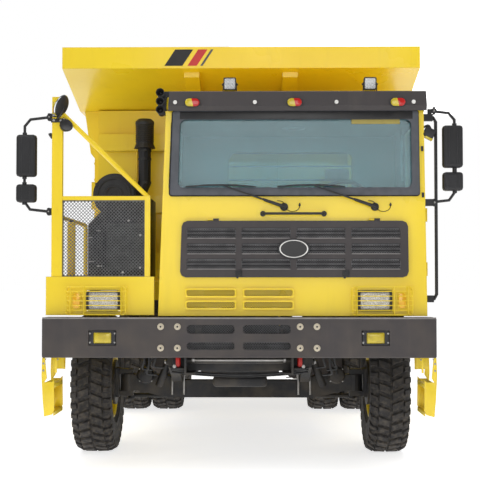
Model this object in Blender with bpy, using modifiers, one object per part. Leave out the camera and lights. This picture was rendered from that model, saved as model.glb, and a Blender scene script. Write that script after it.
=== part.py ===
# Wide-body mining dump truck, six wheels on three axles, with an offset flat cab
# and a service platform beside it. Metres, +Z up, the front faces -Y, the
# vehicle's left is +X, and the origin is on the ground under the middle of it.
import bpy
import bmesh
import math
from mathutils import Matrix, Vector

# Whole vehicle
LENGTH = 8.8
WHEELBASE = 3.8
TANDEM_SPACING = 1.5
FRONT_OVERHANG = 1.5
GAP = 0.0003
RUNNING_GAP = 0.006
FIT = 0.0005
PIN_SIDES = 24

# Wheels and axles
TYRE_RADIUS = 0.685
TYRE_WIDTH = 0.378
WHEEL_STEPS = 20
RIM_RADIUS = 0.335
RIM_WIDTH = 0.28
FRONT_TRACK = 2.82
DUAL_MIDDLE = 1.225
DUAL_SPACING = 0.43
KINGPIN_X = 1.12
KINGPIN_RADIUS = 0.04
STEERING_ARM = 0.30
HUB_GAP = 0.082 + GAP
SPINDLE_RADIUS = 0.07
BRAKE_RADIUS = 0.22
AXLE_TUBE_RADIUS = 0.11
DIFFERENTIAL_RADIUS = 0.21
FRONT_SPRING_X = 0.62
SPRING_TOP = 0.915
SPRING_LOW = 0.79
SPRING_REACH = 0.70
SPRING_HALF_WIDTH = 0.045
SPRING_PAD = 0.13

# Chassis frame
RAIL_X = 0.43
RAIL_WIDTH = 0.09
RAIL_BOTTOM = 0.86
RAIL_TOP = 1.20
RAIL_WALL = 0.02
MOUNT_HALF = 0.05
OUTRIGGER_HALF = 0.045

# Bumper
BUMPER_HALF_WIDTH = 1.706
BUMPER_BOTTOM = 1.012
BUMPER_TOP = 1.359
BUMPER_DEPTH = 0.25
BUMPER_WALL = 0.04
MOUNT_SETBACK = 0.24
BUMPER_SLOTS = ((1.221, 1.295), (1.080, 1.148))
BUMPER_SLOT_ENDS = (0.035, 0.45)
FOG_POCKET = ((1.06, 1.118), (1.30, 1.248))
FOG_POCKET_DEPTH = 0.028

# Cab
CAB_RIGHT = -0.707
CAB_LEFT = 1.641
CAB_SETBACK = 0.10
CAB_LENGTH = 1.80
CAB_BOTTOM = 1.37
CAB_FLOOR_BOTTOM = 1.45
CAB_FLOOR_TOP = 1.50
CAB_WALL_TOP = 3.17
CAB_ROOF_TOP = 3.30
CAB_WALL = 0.05
CAB_FRONT_WALL = 0.06
CAB_LEAN = 0.037
CAB_LEAN_CENTRE = 1.02
CAB_LEAN_TOP = 3.15
SCREEN_BOTTOM = 2.424
SCREEN_TOP = 3.13
SCREEN_RIGHT = -0.655
SCREEN_LEFT = 1.59
GLASS = 0.02
REAR_WINDOW_LOW = (-0.17, 2.30)
REAR_WINDOW_HIGH = (1.14, 3.00)
REAR_GLASS_SETBACK = 0.035
DOOR_LENGTH = 0.94
DOOR_GAP = 0.005
DOOR_WINDOW_BOTTOM = 2.35
PILLAR_DEPTH = 0.155
HINGE_RADIUS = 0.012
DOOR_HINGES = (1.72, 2.20)
HINGE_LENGTH = 0.06
SEAT_PLACES = (0.95, -0.16)
SEAT_BASE = 1.96
SEAT_SETBACK = 1.18
BACKREST_HEIGHT = 0.66
STEERING_RING = 0.205
LOWER_SLOTS_X = (-0.459, 0.043)
LOWER_SLOTS_Z = (1.436, 1.542)
LOWER_SLOT_SIZE = (0.428, 0.061)

# Grille flap
FLAP_RIGHT = -0.525
FLAP_LEFT = 1.48
FLAP_BOTTOM = 1.707
FLAP_TOP = 2.20
FLAP_THICKNESS = 0.028
FLAP_HINGE_RADIUS = 0.010
FLAP_SLOT_ROWS = (1.776, 1.909, 2.045)
FLAP_SLOT_START = -0.455
FLAP_SLOT_STEP = 0.4775
FLAP_SLOT_SIZE = (0.43, 0.094)

# Lamps
LAMP_INNER = 1.035
LAMP_OUTER = 1.334
LAMP_BOTTOM = 1.413
LAMP_TOP = 1.594

# Platform beside the cab
PLATFORM_OUTER = -1.69
PLATFORM_INNER = -0.742
PLATFORM_TOP = 1.714
PLATFORM_PLATE = 0.04
PLATFORM_LENGTH = 1.92
GUARD_TOP = 2.424
MAST_TOP = 3.293
MAST_WIDTH = 0.094
BAR = 0.048
SIDE_RAIL_HEIGHT = 2.25
SIDE_RAIL_RADIUS = 0.022

# Mirrors
MIRROR_REACH = 1.96
MIRROR_WIDTH = 0.175
MIRROR_ARM_RADIUS = 0.013

# Engine, tanks and steps
ENGINE_LENGTH = 1.45
ENGINE_HALF_WIDTH = 0.36
GEARBOX_LENGTH = 0.85
GEARBOX_HALF_WIDTH = 0.24
SHAFT_RADIUS = 0.045
TANK_DEPTH = 0.60
TANK_BOTTOM = 0.62
TANK_TOP = 1.16
STEP_INNER = 1.57
STEP_OUTER = 1.72
STEP_BOTTOM = 0.50
STEP_WIDTH = 0.42
STEP_PLATE = 0.03
TREAD_HEIGHTS = (0.53, 0.77)

# Dump bed
BED_FRONT_SETBACK = 2.30
BED_HALF_FLOOR = 1.20
BED_INNER = 1.50
BED_PLATE = 0.05
BED_SIDE_PLATE = 0.04
BED_WALL = 0.06
BED_STIFFENERS = ((3.06, 3.24), (2.40, 2.58), (1.80, 1.98))
BED_FLOOR_TOP = 1.51
BED_CHINE = 0.30
BED_TOP = 3.50
BED_TAIL_LENGTH = 1.30
BED_TAIL_RISE = 0.45
BED_RIBS = 7
CANOPY_REACH = 1.10
CANOPY_HALF_WIDTH = 1.745
CANOPY_LIP_BOTTOM = 3.75
CANOPY_LIP_TOP = 3.96
CANOPY_PAN_HALF = 1.70
CANOPY_GUSSET_INNER = 1.66
CANOPY_RIBS = (0.41, 0.56)

# Bed hinge and hoist, measured from the hinge
BED_HINGE_INSET = 1.05
HOIST_FOOT_BACK = 3.15
HOIST_FOOT_DROP = 0.32
HOIST_EYE_BACK = 1.05
HOIST_EYE_RISE = 0.08
BARREL_RADIUS = 0.085
BARREL_LENGTH = 1.35
HOIST_ROD_RADIUS = 0.05
PIN_RADIUS = 0.035
FOOT_PIN_RADIUS = 0.03
HINGE_RISE = 0.10

# Places worked out from the sizes above
FRONT = -LENGTH / 2
REAR = LENGTH / 2
FRONT_AXLE_Y = FRONT + FRONT_OVERHANG
MIDDLE_AXLE_Y = FRONT_AXLE_Y + WHEELBASE
REAR_AXLE_Y = MIDDLE_AXLE_Y + TANDEM_SPACING
TANDEM_Y = (MIDDLE_AXLE_Y + REAR_AXLE_Y) / 2
# A flat of the tread lies on the ground, so the axle is lower than the radius
AXLE_Z = TYRE_RADIUS * math.cos(math.pi / WHEEL_STEPS)
RAIL_OUTER = RAIL_X + RAIL_WIDTH / 2
RAIL_INNER = RAIL_X - RAIL_WIDTH / 2
CAB_FRONT = FRONT + CAB_SETBACK
CAB_BACK = CAB_FRONT + CAB_LENGTH
BED_FRONT = FRONT + BED_FRONT_SETBACK
BED_BOTTOM = BED_FLOOR_TOP - BED_PLATE
BED_RAIL_BOTTOM = RAIL_TOP + GAP
BED_INSIDE = BED_FRONT + BED_WALL + GAP
TAIL_Y = REAR - BED_TAIL_LENGTH
CHINE_TOP = BED_FLOOR_TOP + BED_CHINE
BED_OUTER = BED_INNER + BED_SIDE_PLATE
HINGE_Y = REAR - BED_HINGE_INSET
HINGE_Z = BED_RAIL_BOTTOM + HINGE_RISE
DOOR_FRONT = CAB_FRONT + PILLAR_DEPTH
DOOR_BACK = DOOR_FRONT + DOOR_LENGTH
DOOR_AXIS_X = CAB_LEFT + HINGE_RADIUS + 0.002
DOOR_AXIS_Y = DOOR_FRONT - DOOR_GAP / 2
FLAP_AXIS_Y = CAB_FRONT - 0.014
FLAP_AXIS_Z = FLAP_TOP + 0.012
FLAP_HINGES = (FLAP_RIGHT + 0.25, FLAP_LEFT - 0.35)
SEAT_Y = CAB_FRONT + SEAT_SETBACK
WHEEL_CENTRE = Vector((SEAT_PLACES[0], CAB_FRONT + 0.56, 2.46))
MIRROR_Y = CAB_FRONT + 0.03


for old in list(bpy.data.objects):
    bpy.data.objects.remove(old, do_unlink=True)
truck = bpy.data.collections.new("mining_dump_truck")
helpers = bpy.data.collections.new("helpers")
bpy.context.scene.collection.children.link(truck)
bpy.context.scene.collection.children.link(helpers)


def material(name, colour, roughness=0.5, metallic=0.0):
    made = bpy.data.materials.new(name)
    made.use_nodes = True
    shader = made.node_tree.nodes["Principled BSDF"]
    shader.inputs["Base Color"].default_value = (*colour, 1.0)
    shader.inputs["Roughness"].default_value = roughness
    shader.inputs["Metallic"].default_value = metallic
    return made


YELLOW = material("yellow_paint", (0.94, 0.67, 0.03), 0.35)
DARK = material("dark_grey_paint", (0.055, 0.047, 0.047), 0.5)
BLACK = material("black_steel", (0.018, 0.018, 0.02), 0.55, 0.3)
RUBBER = material("tyre_rubber", (0.017, 0.016, 0.016), 0.85)
GLAZING = material("glass", (0.35, 0.55, 0.62), 0.05)
LENS = material("lamp_glass", (0.62, 0.60, 0.52), 0.1)
CHROME = material("chromed_rod", (0.6, 0.6, 0.6), 0.15, 1.0)
TRIM = material("cab_trim", (0.06, 0.06, 0.065), 0.7)
SEAT = material("seat_cloth", (0.03, 0.03, 0.035), 0.9)
MESH = material("guard_mesh_steel", (0.12, 0.12, 0.12), 0.6, 0.5)


# Helper shapes start hidden from the render; keep() turns one into a part.
def helper(mesh, place=Matrix.Identity(4)):
    shape = bpy.data.objects.new("helper", mesh)
    shape.matrix_world = place
    shape.hide_render = True
    shape.display_type = "WIRE"
    helpers.objects.link(shape)
    return shape


def mesh_from(bm):
    bmesh.ops.recalc_face_normals(bm, faces=bm.faces)
    mesh = bpy.data.meshes.new("shape")
    bm.to_mesh(mesh)
    bm.free()
    return mesh


def block(low, high):
    low, high = Vector(low), Vector(high)
    bm = bmesh.new()
    bmesh.ops.create_cube(bm, size=1.0, matrix=Matrix.Diagonal((*(high - low), 1.0)))
    return helper(mesh_from(bm), Matrix.Translation((low + high) / 2))


def rounded_block(low, high, radius):
    shape = block(low, high)
    bevel = shape.modifiers.new("edges", "BEVEL")
    bevel.width = radius
    bevel.segments = 2
    return shape


def rod(start, end, radius, end_radius=None, sides=16):
    start, end = Vector(start), Vector(end)
    length = (end - start).length
    bm = bmesh.new()
    bmesh.ops.create_cone(bm, cap_ends=True, segments=sides, radius1=radius,
                          radius2=radius if end_radius is None else end_radius, depth=length)
    turn = (end - start).to_track_quat("Z", "Y").to_matrix().to_4x4()
    return helper(mesh_from(bm), Matrix.Translation((start + end) / 2) @ turn)


# A hole that clears the corners of the pin turning in it.
def bore(start, end, pin_radius):
    return rod(start, end, (pin_radius + GAP) / math.cos(math.pi / PIN_SIDES), sides=PIN_SIDES)


def mesh_of_curve(curve, place):
    shape = bpy.data.objects.new("curve", curve)
    helpers.objects.link(shape)
    bpy.context.view_layer.update()
    evaluated = shape.evaluated_get(bpy.context.evaluated_depsgraph_get())
    bm = bmesh.new()
    bm.from_mesh(bpy.data.meshes.new_from_object(evaluated))
    bmesh.ops.remove_doubles(bm, verts=bm.verts, dist=0.00001)
    bpy.data.objects.remove(shape, do_unlink=True)
    return helper(mesh_from(bm), place)


# The outline is (y, z) for a plate lying across X, (x, z) across Y, (x, y) across Z.
def plate(outline, low, high, across):
    turns = {"X": ((0, 0, 1), (1, 0, 0), (0, 1, 0)),
             "Y": ((1, 0, 0), (0, 0, -1), (0, 1, 0)),
             "Z": ((1, 0, 0), (0, 1, 0), (0, 0, 1))}
    curve = bpy.data.curves.new("outline", "CURVE")
    curve.dimensions = "2D"
    curve.fill_mode = "BOTH"
    curve.extrude = (high - low) / 2
    curve.render_resolution_u = 0
    spline = curve.splines.new("POLY")
    spline.points.add(len(outline) - 1)
    for point, (u, v) in zip(spline.points, outline):
        point.co = (u, v, 0.0, 1.0)
    spline.use_cyclic_u = True
    middle = (low + high) / 2
    shift = {"X": (middle, 0, 0), "Y": (0, middle, 0), "Z": (0, 0, middle)}[across]
    return mesh_of_curve(curve, Matrix.Translation(shift) @ Matrix(turns[across]).to_4x4())


def tube(points, radius, sides_level=2):
    curve = bpy.data.curves.new("tube", "CURVE")
    curve.dimensions = "3D"
    curve.bevel_depth = radius
    curve.bevel_resolution = sides_level
    curve.use_fill_caps = True
    curve.render_resolution_u = 0
    spline = curve.splines.new("POLY")
    spline.points.add(len(points) - 1)
    for point, place in zip(spline.points, points):
        point.co = (*place, 1.0)
    return mesh_of_curve(curve, Matrix.Identity(4))


# A profile of (radius, height) pairs spun about local Z. It runs down its outer side.
def turned(profile, place, steps=WHEEL_STEPS, closed=False):
    mesh = bpy.data.meshes.new("profile")
    count = len(profile)
    edges = [(i, i + 1) for i in range(count - 1)]
    if closed:
        edges.append((count - 1, 0))
    mesh.from_pydata([(radius, 0.0, height) for radius, height in profile], edges, [])
    shape = helper(mesh, place)
    screw = shape.modifiers.new("turn", "SCREW")
    screw.steps = steps
    screw.render_steps = steps
    screw.use_merge_vertices = True
    screw.merge_threshold = 0.00001
    screw.use_normal_calculate = False
    return shape


# A rectangle's outline with round corners.
def rounded(low, high, radius, steps=2):
    corners = ((high[0] - radius, high[1] - radius, 0.0), (low[0] + radius, high[1] - radius, 0.25),
               (low[0] + radius, low[1] + radius, 0.5), (high[0] - radius, low[1] + radius, 0.75))
    points = []
    for u, v, turn in corners:
        for step in range(steps + 1):
            angle = 2 * math.pi * (turn + 0.25 * step / steps)
            points.append((u + radius * math.cos(angle), v + radius * math.sin(angle)))
    return points


def combine(base, others, operation):
    for other in others:
        boolean = base.modifiers.new(operation.lower(), "BOOLEAN")
        boolean.operation = operation
        boolean.solver = "EXACT"
        boolean.object = other
    return base


def join(base, *others):
    return combine(base, others, "UNION")


def cut(base, *others):
    return combine(base, others, "DIFFERENCE")


def repeat(shape, count, step):
    array = shape.modifiers.new("row", "ARRAY")
    array.use_relative_offset = False
    array.use_constant_offset = True
    array.constant_offset_displace = step
    array.count = count
    return shape


def keep(shape, name, finish, parent=None):
    shape.name = name
    shape.data.name = name
    shape.data.materials.append(finish)
    shape.hide_render = False
    shape.display_type = "TEXTURED"
    helpers.objects.unlink(shape)
    truck.objects.link(shape)
    if parent is not None:
        bpy.context.view_layer.update()
        place = shape.matrix_world.copy()
        shape.parent = parent
        shape.matrix_parent_inverse = parent.matrix_world.inverted()
        shape.matrix_world = place
    return shape


# An empty on a joint's axis, which carries the pieces that move with it.
def pivot(name, place):
    empty = bpy.data.objects.new(name, None)
    empty.location = place
    truck.objects.link(empty)
    bpy.context.view_layer.update()
    return empty


# The cab's walls lean in towards a vertical line as they rise.
def leaned(x, z):
    share = CAB_LEAN * (z - CAB_BOTTOM) / (CAB_LEAN_TOP - CAB_BOTTOM)
    return CAB_LEAN_CENTRE + (x - CAB_LEAN_CENTRE) * (1.0 - share)


def lean(shape):
    back = shape.matrix_world.inverted()
    for vertex in shape.data.vertices:
        place = shape.matrix_world @ vertex.co
        place.x = leaned(place.x, place.z)
        vertex.co = back @ place
    return shape


def ordered(a, b):
    return (a, b) if a < b else (b, a)


def side_block(side, inner, outer, y_low, y_high, z_low, z_high):
    x_low, x_high = ordered(side * inner, side * outer)
    return block((x_low, y_low, z_low), (x_high, y_high, z_high))


def frame():
    front = FRONT + BUMPER_WALL + GAP
    back = HINGE_Y - HINGE_RISE - 0.02
    inner = RAIL_INNER + RAIL_WALL
    channel = [(RAIL_OUTER, RAIL_BOTTOM), (RAIL_OUTER, RAIL_TOP), (RAIL_INNER, RAIL_TOP),
               (RAIL_INNER, RAIL_TOP - RAIL_WALL), (RAIL_OUTER - RAIL_WALL, RAIL_TOP - RAIL_WALL),
               (RAIL_OUTER - RAIL_WALL, RAIL_BOTTOM + RAIL_WALL),
               (RAIL_INNER, RAIL_BOTTOM + RAIL_WALL), (RAIL_INNER, RAIL_BOTTOM)]
    rails = plate(channel, front, back, "Y")
    right_rail = plate([(-x, z) for x, z in channel], front, back, "Y")
    web = RAIL_OUTER - RAIL_WALL / 2
    cross_members = ((CAB_FRONT + MOUNT_SETBACK, 0.88, 1.10), (FRONT_AXLE_Y + 1.15, 1.13, 1.18),
                     (HINGE_Y - HOIST_FOOT_BACK - 0.15, 0.90, 1.16), (TANDEM_Y, 0.88, 1.02),
                     (back - 0.12, 0.90, 1.17))
    pieces = [right_rail]
    for y, low, high in cross_members:
        pieces.append(block((-web, y - 0.05, low), (web, y + 0.05, high)))
    # Ears and the pin that the bed swings on
    for side in (-1, 1):
        ear = plate([(back - 0.30, 1.00), (back - 0.02, 1.00), (HINGE_Y + 0.09, HINGE_Z - 0.05),
                     (HINGE_Y + 0.09, HINGE_Z + 0.05), (HINGE_Y + 0.04, HINGE_Z + 0.09),
                     (HINGE_Y - 0.05, HINGE_Z + 0.09), (back - 0.30, 1.12)],
                    *ordered(side * (RAIL_OUTER + GAP), side * (RAIL_OUTER + 0.05)), "X")
        pad = side_block(side, RAIL_OUTER - 0.01, RAIL_OUTER + 0.02, back - 0.28, back - 0.03, 1.00, 1.12)
        pieces += [ear, pad]
    pieces.append(rod((-RAIL_OUTER - 0.07, HINGE_Y, HINGE_Z), (RAIL_OUTER + 0.07, HINGE_Y, HINGE_Z),
                      PIN_RADIUS, sides=PIN_SIDES))
    # Foot of the hoist
    foot_y = HINGE_Y - HOIST_FOOT_BACK
    foot_z = HINGE_Z - HOIST_FOOT_DROP
    for side in (-1, 1):
        pieces.append(side_block(side, 0.062, 0.10, foot_y - 0.12, foot_y + 0.05,
                                 foot_z - 0.07, foot_z + 0.07))
    pieces.append(rod((-0.10, foot_y, foot_z), (0.10, foot_y, foot_z), FOOT_PIN_RADIUS, sides=PIN_SIDES))
    # Hangers of the front springs
    for side in (-1, 1):
        for y in (FRONT_AXLE_Y - SPRING_REACH, FRONT_AXLE_Y + SPRING_REACH):
            pieces.append(side_block(side, RAIL_OUTER - 0.01, FRONT_SPRING_X + SPRING_HALF_WIDTH + 0.01,
                                     y - 0.06, y + 0.06, SPRING_TOP + GAP, 1.06))
    # Cab mounts: short posts on the rails, and outriggers to the left
    front_y = CAB_FRONT + MOUNT_SETBACK
    rear_y = CAB_BACK - 0.07
    seat = CAB_FLOOR_BOTTOM - GAP
    for side in (-1, 1):
        pieces.append(side_block(side, RAIL_INNER + 0.01, RAIL_OUTER - 0.005,
                                 front_y - MOUNT_HALF, front_y + MOUNT_HALF, RAIL_TOP - 0.01, seat))
        pieces.append(side_block(side, RAIL_INNER + 0.01, RAIL_OUTER - 0.005,
                                 rear_y - MOUNT_HALF, rear_y + MOUNT_HALF, RAIL_TOP - 0.01, seat))
    arm = OUTRIGGER_HALF
    pieces.append(block((RAIL_OUTER - 0.02, front_y - arm, 1.215), (1.45, front_y + arm, 1.315)))
    pieces.append(block((1.33, front_y - MOUNT_HALF, 1.25), (1.46, front_y + MOUNT_HALF, seat)))
    pieces.append(block((RAIL_OUTER - 0.02, rear_y - arm, 1.385), (1.46, rear_y + arm, seat)))
    # Outriggers of the platform
    outer = PLATFORM_OUTER + 0.12
    deck = PLATFORM_TOP - PLATFORM_PLATE - GAP
    pieces.append(block((-0.98, front_y - 0.04, 1.22), (-RAIL_OUTER + 0.02, front_y + 0.04, 1.31)))
    pieces.append(block((-0.98, front_y - arm, 1.24), (-0.89, front_y + arm, deck)))
    behind = CAB_BACK + 0.07
    pieces.append(block((-RAIL_OUTER + 0.005, behind - arm, RAIL_TOP - 0.01),
                        (-RAIL_INNER - 0.01, behind + arm, 1.49)))
    pieces.append(block((outer, behind - 0.04, 1.40), (-RAIL_OUTER + 0.02, behind + 0.04, 1.48)))
    pieces.append(block((outer, behind - arm, 1.41), (outer + 0.1, behind + arm, deck)))
    # Tube between the front horns
    pieces.append(rod((-web, FRONT + 0.16, 0.98), (web, FRONT + 0.16, 0.98), 0.028, sides=12))
    keep(join(rails, *pieces), "frame", BLACK)


def front_bumper():
    half = BUMPER_HALF_WIDTH
    bumper = rounded_block((-half, FRONT, BUMPER_BOTTOM), (half, FRONT + BUMPER_DEPTH, BUMPER_TOP), 0.012)
    wall = BUMPER_WALL
    cut(bumper, block((-half + wall, FRONT + wall, BUMPER_BOTTOM + wall),
                      (half - wall, FRONT + BUMPER_DEPTH + 0.1, BUMPER_TOP - wall)))
    # Cooling slots, in two rows beside the middle
    for low, high in BUMPER_SLOTS:
        for side in (-1, 1):
            x_low, x_high = ordered(*(side * x for x in BUMPER_SLOT_ENDS))
            cut(bumper, plate(rounded((x_low, low), (x_high, high), 0.03), FRONT - 0.05, FRONT + 0.05, "Y"))
    # Notches that let the chassis rails in
    for side in (-1, 1):
        cut(bumper, side_block(side, RAIL_INNER - 0.001, RAIL_OUTER + 0.001, FRONT + wall,
                               FRONT + BUMPER_DEPTH + 0.1, BUMPER_BOTTOM - 0.1, RAIL_TOP))
    # Pockets of the fog lamps
    (inner, low), (outer, high) = FOG_POCKET
    for side in (-1, 1):
        cut(bumper, side_block(side, inner, outer, FRONT - 0.05, FRONT + FOG_POCKET_DEPTH, low, high))
    keep(bumper, "front_bumper", DARK)


def front_axle():
    y = FRONT_AXLE_Y
    eye_low, eye_high = AXLE_Z - 0.08, AXLE_Z + 0.08
    half = [(FRONT_SPRING_X + 0.10, 0.53), (KINGPIN_X - 0.10, eye_low - 0.001), (KINGPIN_X - 0.03, eye_low),
            (KINGPIN_X - 0.03, eye_high), (FRONT_SPRING_X + 0.12, eye_high - 0.005), (FRONT_SPRING_X, 0.70)]
    beam = plate(half + [(-x, height) for x, height in reversed(half)], y - 0.065, y + 0.065, "Y")
    for side in (-1, 1):
        x = side * KINGPIN_X
        join(beam, rod((x, y, eye_low - 0.002), (x, y, eye_high + 0.002), 0.075))
        cut(beam, bore((x, y, eye_low - 0.1), (x, y, eye_high + 0.1), KINGPIN_RADIUS))
        # Leaf spring: a bow from hanger to hanger, seated on the beam
        top, low, reach = SPRING_TOP, SPRING_LOW, SPRING_REACH
        leaf = [(y - reach - 0.05, top), (y - reach - 0.05, top - 0.04), (y - reach / 2, low - 0.035),
                (y - 0.16, low - 0.10), (y + 0.16, low - 0.10), (y + reach / 2, low - 0.035),
                (y + reach + 0.05, top - 0.04), (y + reach + 0.05, top), (y + reach / 2, low + 0.045),
                (y, low + 0.01), (y - reach / 2, low + 0.045)]
        x_low, x_high = ordered(side * (FRONT_SPRING_X - SPRING_HALF_WIDTH),
                                side * (FRONT_SPRING_X + SPRING_HALF_WIDTH))
        join(beam, plate(leaf, x_low, x_high, "X"))
    keep(beam, "front_axle", BLACK)


# A wheel body's origin is where its axle meets the wheel's middle plane.
def wheel_place(x, y):
    turn = Matrix.Rotation(math.copysign(math.pi / 2, x), 4, "Y")
    half_step = Matrix.Rotation(math.pi / WHEEL_STEPS, 4, "Z")
    return Matrix.Translation((x, y, AXLE_Z)) @ turn @ half_step


# A tyre's section, from its upper bead around the tread to its lower bead.
def tyre_section(offset=0.0):
    half = TYRE_WIDTH / 2
    bead, wall = RIM_RADIUS + GAP, RIM_RADIUS + 0.10
    shoulder = TYRE_RADIUS - 0.05
    return [(bead, offset + 0.74 * half), (wall, offset + half), (shoulder, offset + half),
            (TYRE_RADIUS, offset + 0.84 * half), (TYRE_RADIUS, offset - 0.84 * half),
            (shoulder, offset - half), (wall, offset - half), (bead, offset - 0.74 * half)]


# The two tyres of a twin wheel are joined by the band that spaces their rims.
def twin_section():
    offset = DUAL_SPACING / 2
    band = RIM_RADIUS + 0.03
    edge = offset - 0.82 * TYRE_WIDTH / 2
    return tyre_section(offset)[:-1] + [(band, edge), (band, -edge)] + tyre_section(-offset)[1:]


def front_rim_section():
    edge, inside = RIM_WIDTH / 2, RIM_RADIUS - 0.02
    return [(0.0, 0.15), (0.09, 0.15), (0.11, 0.05), (0.295, 0.05), (inside, edge), (RIM_RADIUS, edge),
            (RIM_RADIUS, -edge), (inside, -edge), (0.295, 0.02), (0.12, 0.02), (0.12, -0.04), (0.0, -0.04)]


def twin_rim_section():
    edge, inside = (DUAL_SPACING + RIM_WIDTH) / 2, RIM_RADIUS - 0.02
    return [(0.0, 0.27), (0.13, 0.27), (0.15, 0.05), (0.285, 0.05), (inside, edge), (RIM_RADIUS, edge),
            (RIM_RADIUS, -edge), (inside, -edge), (0.295, -0.02), (0.0, -0.02)]


def knuckle_and_front_wheel(name, side):
    y, z, kingpin = FRONT_AXLE_Y, AXLE_Z, side * KINGPIN_X
    steer = pivot("steer_" + name, (kingpin, y, z))
    knuckle = rod((kingpin, y, z - HUB_GAP - 0.04), (kingpin, y, z + HUB_GAP + 0.04), KINGPIN_RADIUS, sides=PIN_SIDES)
    outside = FRONT_TRACK / 2 - 0.04 - GAP
    arm_low = z - HUB_GAP - 0.05
    join(knuckle,
         side_block(side, KINGPIN_X - 0.05, KINGPIN_X + 0.12, y - 0.055, y + 0.055, z + HUB_GAP, z + HUB_GAP + 0.05),
         side_block(side, KINGPIN_X - 0.05, KINGPIN_X + 0.12, y - 0.055, y + 0.055, arm_low, z - HUB_GAP),
         side_block(side, KINGPIN_X + 0.082, KINGPIN_X + 0.125, y - 0.10, y + 0.10, z - 0.14, z + 0.14),
         rod((side * (KINGPIN_X + 0.10), y, z), (side * outside, y, z), SPINDLE_RADIUS),
         rod((side * (KINGPIN_X + 0.115), y, z), (side * (KINGPIN_X + 0.142), y, z), BRAKE_RADIUS),
         side_block(side, KINGPIN_X - 0.03, KINGPIN_X + 0.03, y + 0.03, y + STEERING_ARM + 0.04,
                    arm_low, z - HUB_GAP - 0.01))
    keep(knuckle, "knuckle_" + name, BLACK, steer)
    roll = pivot("roll_front_" + name, (side * FRONT_TRACK / 2, y, z))
    place = wheel_place(side * FRONT_TRACK / 2, y)
    keep(turned(tyre_section(), place, closed=True), "front_tyre_" + name, RUBBER, roll)
    keep(turned(front_rim_section(), place), "front_rim_" + name, YELLOW, roll)


def tie_rod():
    y = FRONT_AXLE_Y + STEERING_ARM
    top = AXLE_Z - HUB_GAP - 0.05 - GAP
    carried = pivot("tie_rod_end", (KINGPIN_X, y, top))
    bar = rod((-KINGPIN_X, y, top - 0.028), (KINGPIN_X, y, top - 0.028), 0.022, sides=10)
    for side in (-1, 1):
        join(bar, rod((side * KINGPIN_X, y, top - 0.055), (side * KINGPIN_X, y, top), 0.036))
    keep(bar, "tie_rod", BLACK, carried)


def rear_axle(name, y, to_next=None):
    z = AXLE_Z
    end = DUAL_MIDDLE - 0.02
    axle = rod((-end + GAP, y, z), (end - GAP, y, z), AXLE_TUBE_RADIUS)
    join(axle, rod((-0.18, y, z), (0.18, y, z), DIFFERENTIAL_RADIUS, sides=20),
         rod((0, y, z + 0.03), (0, y - 0.36, z + 0.03), 0.15, 0.07))
    for side in (-1, 1):
        join(axle, rod((side * 0.90, y, z), (side * (end - RUNNING_GAP), y, z), 0.24, sides=20),
             side_block(side, 0.56, 0.68, y - 0.08, y + 0.08, z, z + SPRING_PAD))
    if to_next is not None:
        join(axle, rod((0, y + 0.15, z + 0.03), (0, to_next - 0.36 - GAP, z + 0.03), SHAFT_RADIUS, sides=12))
    keep(axle, name, BLACK)


def rear_suspension():
    low, high = AXLE_Z + SPRING_PAD + GAP, AXLE_Z + SPRING_PAD + 0.05
    y_front, y_back, y = MIDDLE_AXLE_Y - 0.13, REAR_AXLE_Y + 0.13, TANDEM_Y
    pack = [(y_front, low), (y_back, low), (y_back, high), (y + 0.22, high + 0.13),
            (y - 0.22, high + 0.13), (y_front, high)]
    beam = block((-0.62, y - 0.07, 0.79), (0.62, y + 0.07, RAIL_BOTTOM - GAP))
    for side in (-1, 1):
        x_low, x_high = ordered(side * 0.57, side * 0.67)
        join(beam, plate(pack, x_low, x_high, "X"),
             side_block(side, RAIL_OUTER + GAP, 0.60, y - 0.13, y + 0.13, 0.84, 1.10),
             side_block(side, 0.55, 0.70, y - 0.15, y + 0.15, 0.76, 1.02))
    keep(beam, "rear_suspension", BLACK)


def rear_wheel(name, side, y):
    x = side * DUAL_MIDDLE
    roll = pivot("roll_" + name, (x, y, AXLE_Z))
    place = wheel_place(x, y)
    keep(turned(twin_section(), place, closed=True), name + "_tyres", RUBBER, roll)
    keep(turned(twin_rim_section(), place), name + "_rims", YELLOW, roll)


def engine_and_driveline():
    start = FRONT_AXLE_Y - 0.85
    end = start + ENGINE_LENGTH
    engine = rounded_block((-ENGINE_HALF_WIDTH, start, 0.80), (ENGINE_HALF_WIDTH, end, 1.36), 0.03)
    foot = RAIL_OUTER - RAIL_WALL - GAP
    for y in (start + 0.35, end - 0.30):
        join(engine, block((-foot, y, 1.00), (foot, y + 0.12, 1.08)))
    keep(engine, "engine", BLACK)
    back = end + GAP + GEARBOX_LENGTH
    gearbox = block((-GEARBOX_HALF_WIDTH, end + GAP, 0.74), (GEARBOX_HALF_WIDTH, back, 1.13 - GAP))
    nose = MIDDLE_AXLE_Y - 0.36
    z = AXLE_Z + 0.03
    join(gearbox, rod((0, back - 0.03, 0.92), (0, nose - 0.08, z), SHAFT_RADIUS, sides=12),
         rod((0, back - 0.01, 0.92), (0, back + 0.10, 0.92), 0.08, sides=12),
         rod((0, nose - 0.13, z), (0, nose - GAP, z), 0.065, sides=12))
    keep(gearbox, "gearbox_and_propshaft", BLACK)


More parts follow.
